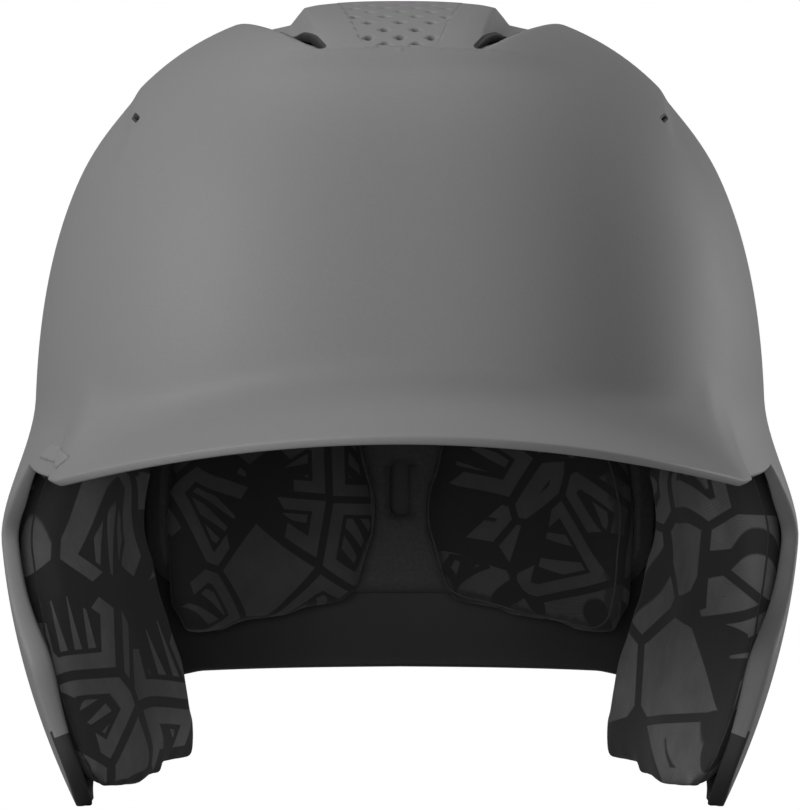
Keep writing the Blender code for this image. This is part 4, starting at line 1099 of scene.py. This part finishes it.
def puff(obj):
    """Cloth simulation: the closed cover is blown up a little, then kept within reach of its first shape."""
    bpy.context.view_layer.objects.active = obj
    remesh = obj.modifiers.new("remesh", "REMESH")
    remesh.mode = "VOXEL"
    remesh.voxel_size = CLOTH_CELL
    bpy.ops.object.modifier_apply(modifier=remesh.name)
    start = evened(obj.data, np.array([v.co for v in obj.data.vertices]), 5)
    obj.data.vertices.foreach_set("co", start.ravel())
    cloth = obj.modifiers.new("cloth", "CLOTH")
    settings = cloth.settings
    settings.quality = 6
    settings.mass = 0.25
    settings.tension_stiffness = settings.compression_stiffness = 12
    settings.shear_stiffness = 6
    settings.bending_stiffness = 0.6
    settings.use_pressure = True
    settings.uniform_pressure_force = CLOTH_PRESSURE
    settings.effector_weights.gravity = 0
    settings.shrink_min = 0
    cloth.collision_settings.use_collision = False
    cloth.point_cache.frame_start = 1
    cloth.point_cache.frame_end = CLOTH_FRAMES
    for number in range(1, CLOTH_FRAMES + 1):
        bpy.context.scene.frame_set(number)
    shape = obj.evaluated_get(bpy.context.evaluated_depsgraph_get()).data
    moved = np.array([v.co for v in shape.vertices])
    bpy.context.scene.frame_set(1)
    obj.modifiers.remove(cloth)
    shift = evened(obj.data, moved - start, 10)
    shift -= shift.mean(axis=0)
    length = np.linalg.norm(shift, axis=1, keepdims=True) + 1e-9
    shift *= np.minimum(1, CLOTH_REACH / length)
    obj.data.vertices.foreach_set("co", (start + shift).ravel())
    subdivide = obj.modifiers.new("subdivide", "SUBSURF")
    subdivide.levels = subdivide.render_levels = 1
    bpy.ops.object.modifier_apply(modifier=subdivide.name)
    obj.data.shade_smooth()


EAR_OUTLINE = [(75.5, 11.5, 5), (79.5, 36, 20), (72, 72, 40), (66, 103, 10), (-19, 103, 8), (-19, 76, 10),
               (-20, 57, 20), (-30, 43, 8), (-30, 8, 8), (-14, 3, 10), (30, 4.5, 60)]
REAR_OUTLINE = [(-12, 49, 6), (-4, 78, 8), (-12, 112, 10), (-30, 126, 10), (-71, 122, 12), (-81, 84, 30),
                (-80, 37, 8), (-40, 42, 60)]
PAD_SAG = 0.62


def ear_face(base):
    """Depth of an ear pad's face: it thins out towards its front edge."""
    return 12 * MM + 15 * MM * smoothstep(-34 * MM, 18 * MM, base[:, 1])


def sagged(points):
    """Lets the inner side of an ear pad hang lower, so that its underside lies flatter."""
    azimuth, height = np.arctan2(points[:, 0], -points[:, 1]), points[:, 2]
    wall = dome_radius(azimuth, level_of_height(height)) + flap_offset(azimuth, height)
    depth = wall - np.hypot(points[:, 0], points[:, 1])
    drop = PAD_SAG * np.maximum(depth - 6 * MM, 0) * smoothstep(75 * MM, 15 * MM, height)
    return points - np.outer(drop, (0, 0, 1))


def set_rim(obj, loop_places, reach):
    """An attribute that is 0 within reach of the seam and 1 beyond it, for the plain binding."""
    tree = tree_of(resample(loop_places, 1.0 * MM, closed=True))
    values = [float(tree.find(v.co)[2] > reach) for v in obj.data.vertices]
    obj.data.attributes.new("rim", "FLOAT", "POINT").data.foreach_set("value", values)


def edge_places(domain, outline, depth):
    """Places along an outline, at a depth that is a number or a function of the base surface."""
    azimuth, level = domain(outline)
    base = surface(azimuth, level, False)
    deep = depth(base)[:, None] if callable(depth) else depth
    return base - normals(azimuth, level, False) * deep


CORD_RADIUS = 0.3 * MM


def add_cord(name, pad, path, material):
    """A seam cord that lies on a pad, nearest to a closed path."""
    path = resample(path, 2.0 * MM, closed=True)
    places = np.array([pad.closest_point_on_mesh(place)[1] for place in path])
    for _ in range(3):
        places = (np.roll(places, 1, axis=0) + 2 * places + np.roll(places, -1, axis=0)) / 4
    curve = bpy.data.curves.new(name, "CURVE")
    curve.dimensions = "3D"
    curve.bevel_depth = CORD_RADIUS
    curve.bevel_resolution = 3
    spline = curve.splines.new("POLY")
    spline.points.add(len(places) - 1)
    for point, place in zip(spline.points, places):
        point.co = (*place, 1)
    spline.use_cyclic_u = True
    curve.materials.append(material)
    obj = bpy.data.objects.new(name, curve)
    obj.location = (0, CENTRE_Y, 0)
    bpy.context.scene.collection.objects.link(obj)
    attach(obj, "root")


def half_ear_face(base):
    return 0.5 * ear_face(base)


def wrap(obj, seam, binding, cord):
    """Puffs out a pad, and gives it its binding and its seam cord."""
    puff(obj)
    set_rim(obj, seam, binding)
    kind, side = obj.name.rsplit("_", 1)
    add_cord("%s_seam_%s" % (kind, side), obj, seam, cord)


def build_ear_pads(fabric, cord):
    outline = outline_of(EAR_OUTLINE)
    points, faces, _ = soft_mesh(from_side, outline, 5.2 * MM, ear_face, 2.5 * MM, 1.5 * MM)
    nodes = ["ear_pad_cover", "ear_pad_core"]
    pads = add_pair("ear_pad", sagged(points), faces, fabric, "printed_fabric", nodes)
    seam = sagged(edge_places(from_side, outline, half_ear_face))
    for side, obj in zip((1, -1), pads):
        wrap(obj, seam * (side, 1, 1), 0.825 * MM, cord)


def build_rear_pads(fabric, cord):
    """The rear pads. Two known faults: flipped() puts the one named left on the wearer's right, and both get
    the seam of the +X side, so the other pad's cord gathers on its inner edge and its binding is missing."""
    outline = outline_of(REAR_OUTLINE)
    points, faces, _ = soft_mesh(from_back, outline, 14.6 * MM, 25 * MM, 3.0 * MM, 1.0 * MM)
    points, faces = flipped(points, faces)
    for obj in add_pair("rear_pad", points, faces, fabric, "printed_fabric", ["rear_pad"]):
        wrap(obj, edge_places(from_back, outline, 23.5 * MM), 4.4 * MM, cord)


# ---------------------------------------------------------------- studio
CAMERA_DISTANCE = 1.6
CAMERA_HEIGHT = 0.112
VIEW_WIDTH = 0.2264
SENSOR_WIDTH = 36.0
FLOOR_HALF = 6.0
FLOOR_HEIGHT = -0.6 * MM
WORLD_LIGHT = 0.2
# For each light: its place, what it points at, its size and its power.
LIGHTS = {"key": ((-1.4, -0.9, 0.9), (0, 0, 0.12), (1.0, 1.0), 23),
          "front": ((-0.1, -1.9, 0.1), (0, 0.05, 0.07), (0.8, 0.5), 11),
          "rim_right": ((1.3, 0.7, 0.35), (0, 0, 0.12), (0.5, 0.9), 10.5),
          "top": ((-0.2, 0.4, 1.5), (0, 0, 0.1), (0.8, 0.8), 6)}


def add_light(name, place, target, size, power):
    light = bpy.data.lights.new(name, "AREA")
    light.shape = "RECTANGLE"
    light.size, light.size_y = size
    light.energy = power
    obj = bpy.data.objects.new(name, light)
    obj.location = place
    obj.rotation_euler = (Vector(target) - obj.location).to_track_quat("-Z", "Y").to_euler()
    bpy.context.scene.collection.objects.link(obj)


def add_camera():
    camera = bpy.data.cameras.new("camera")
    camera.sensor_fit = "HORIZONTAL"
    camera.sensor_width = SENSOR_WIDTH
    camera.lens = SENSOR_WIDTH * CAMERA_DISTANCE / VIEW_WIDTH
    camera.clip_start = 0.01
    camera.clip_end = 50
    obj = bpy.data.objects.new("camera", camera)
    obj.location = (0, CENTRE_Y - CAMERA_DISTANCE, CAMERA_HEIGHT)
    obj.rotation_euler = (math.pi / 2, 0, 0)
    bpy.context.scene.collection.objects.link(obj)
    bpy.context.scene.camera = obj


def white_world():
    """White for the camera, and WORLD_LIGHT times that as light."""
    world = bpy.data.worlds.new("studio")
    world.use_nodes = True
    tree = world.node_tree
    background = tree.nodes["Background"]
    path = tree.nodes.new("ShaderNodeLightPath")
    strength = tree.nodes.new("ShaderNodeMapRange")
    tree.links.new(path.outputs["Is Camera Ray"], strength.inputs[0])
    strength.inputs[3].default_value = WORLD_LIGHT
    strength.inputs[4].default_value = 1.0
    tree.links.new(strength.outputs[0], background.inputs["Strength"])
    background.inputs["Color"].default_value = (1, 1, 1, 1)
    return world


def floor_material():
    """Pale floor. The camera sees it bright; it sends less light back up than it shows."""
    material = bpy.data.materials.new("pale_floor")
    material.use_nodes = True
    tree = material.node_tree
    shader = tree.nodes["Principled BSDF"]
    shader.inputs["Roughness"].default_value = 0.9
    shader.inputs["Specular IOR Level"].default_value = 0.1
    shader.inputs["Base Color"].default_value = (0.35, 0.35, 0.35, 1)
    glow = tree.nodes.new("ShaderNodeEmission")
    glow.inputs["Color"].default_value = (1, 1, 1, 1)
    path = tree.nodes.new("ShaderNodeLightPath")
    mix = tree.nodes.new("ShaderNodeMixShader")
    tree.links.new(path.outputs["Is Camera Ray"], mix.inputs[0])
    tree.links.new(shader.outputs[0], mix.inputs[1])
    tree.links.new(glow.outputs[0], mix.inputs[2])
    tree.links.new(mix.outputs[0], tree.nodes["Material Output"].inputs["Surface"])
    return material


def build_studio():
    scene = bpy.context.scene
    scene.view_settings.view_transform = "Standard"
    add_camera()
    scene.world = white_world()
    square = ((-1, -1), (1, -1), (1, 1), (-1, 1))
    corners = [(x * FLOOR_HALF, y * FLOOR_HALF, FLOOR_HEIGHT) for x, y in square]
    add_object("floor", corners, [(0, 1, 2, 3)], [floor_material()], y=0)
    for name, values in LIGHTS.items():
        add_light(name, *values)


def main():
    build_shell([matte_paint(), inner_plastic()])
    build_inlay(matte_paint("insert_plastic", 0.19, True))
    build_plate(matte_paint("blank_plate", 0.2))
    foams = (foam("liner_foam", 0.045), foam("pad_foam", 0.03, 900), foam("rear_foam", 0.06, 900))
    build_liners(foams, hook_tape())
    ear_fabric = printed_fabric("printed_fabric", 0.055, 0.22, (1.0, 0.45, 1.0), 0.137, 26.0)
    rear_fabric = printed_fabric("printed_fabric_rear", 0.028, 0.08, (1.0, 1.0, 1.0), 0.412, 22.0)
    # The seam cords are real geometry; their tone, lighter than the rear pads' dark cloth, adds a painted
    # highlight along the pads' edges.
    cord = foam("seam_cord", 0.06, 900)
    build_ear_pads(ear_fabric, cord)
    build_rear_pads(rear_fabric, cord)
    build_studio()


main()
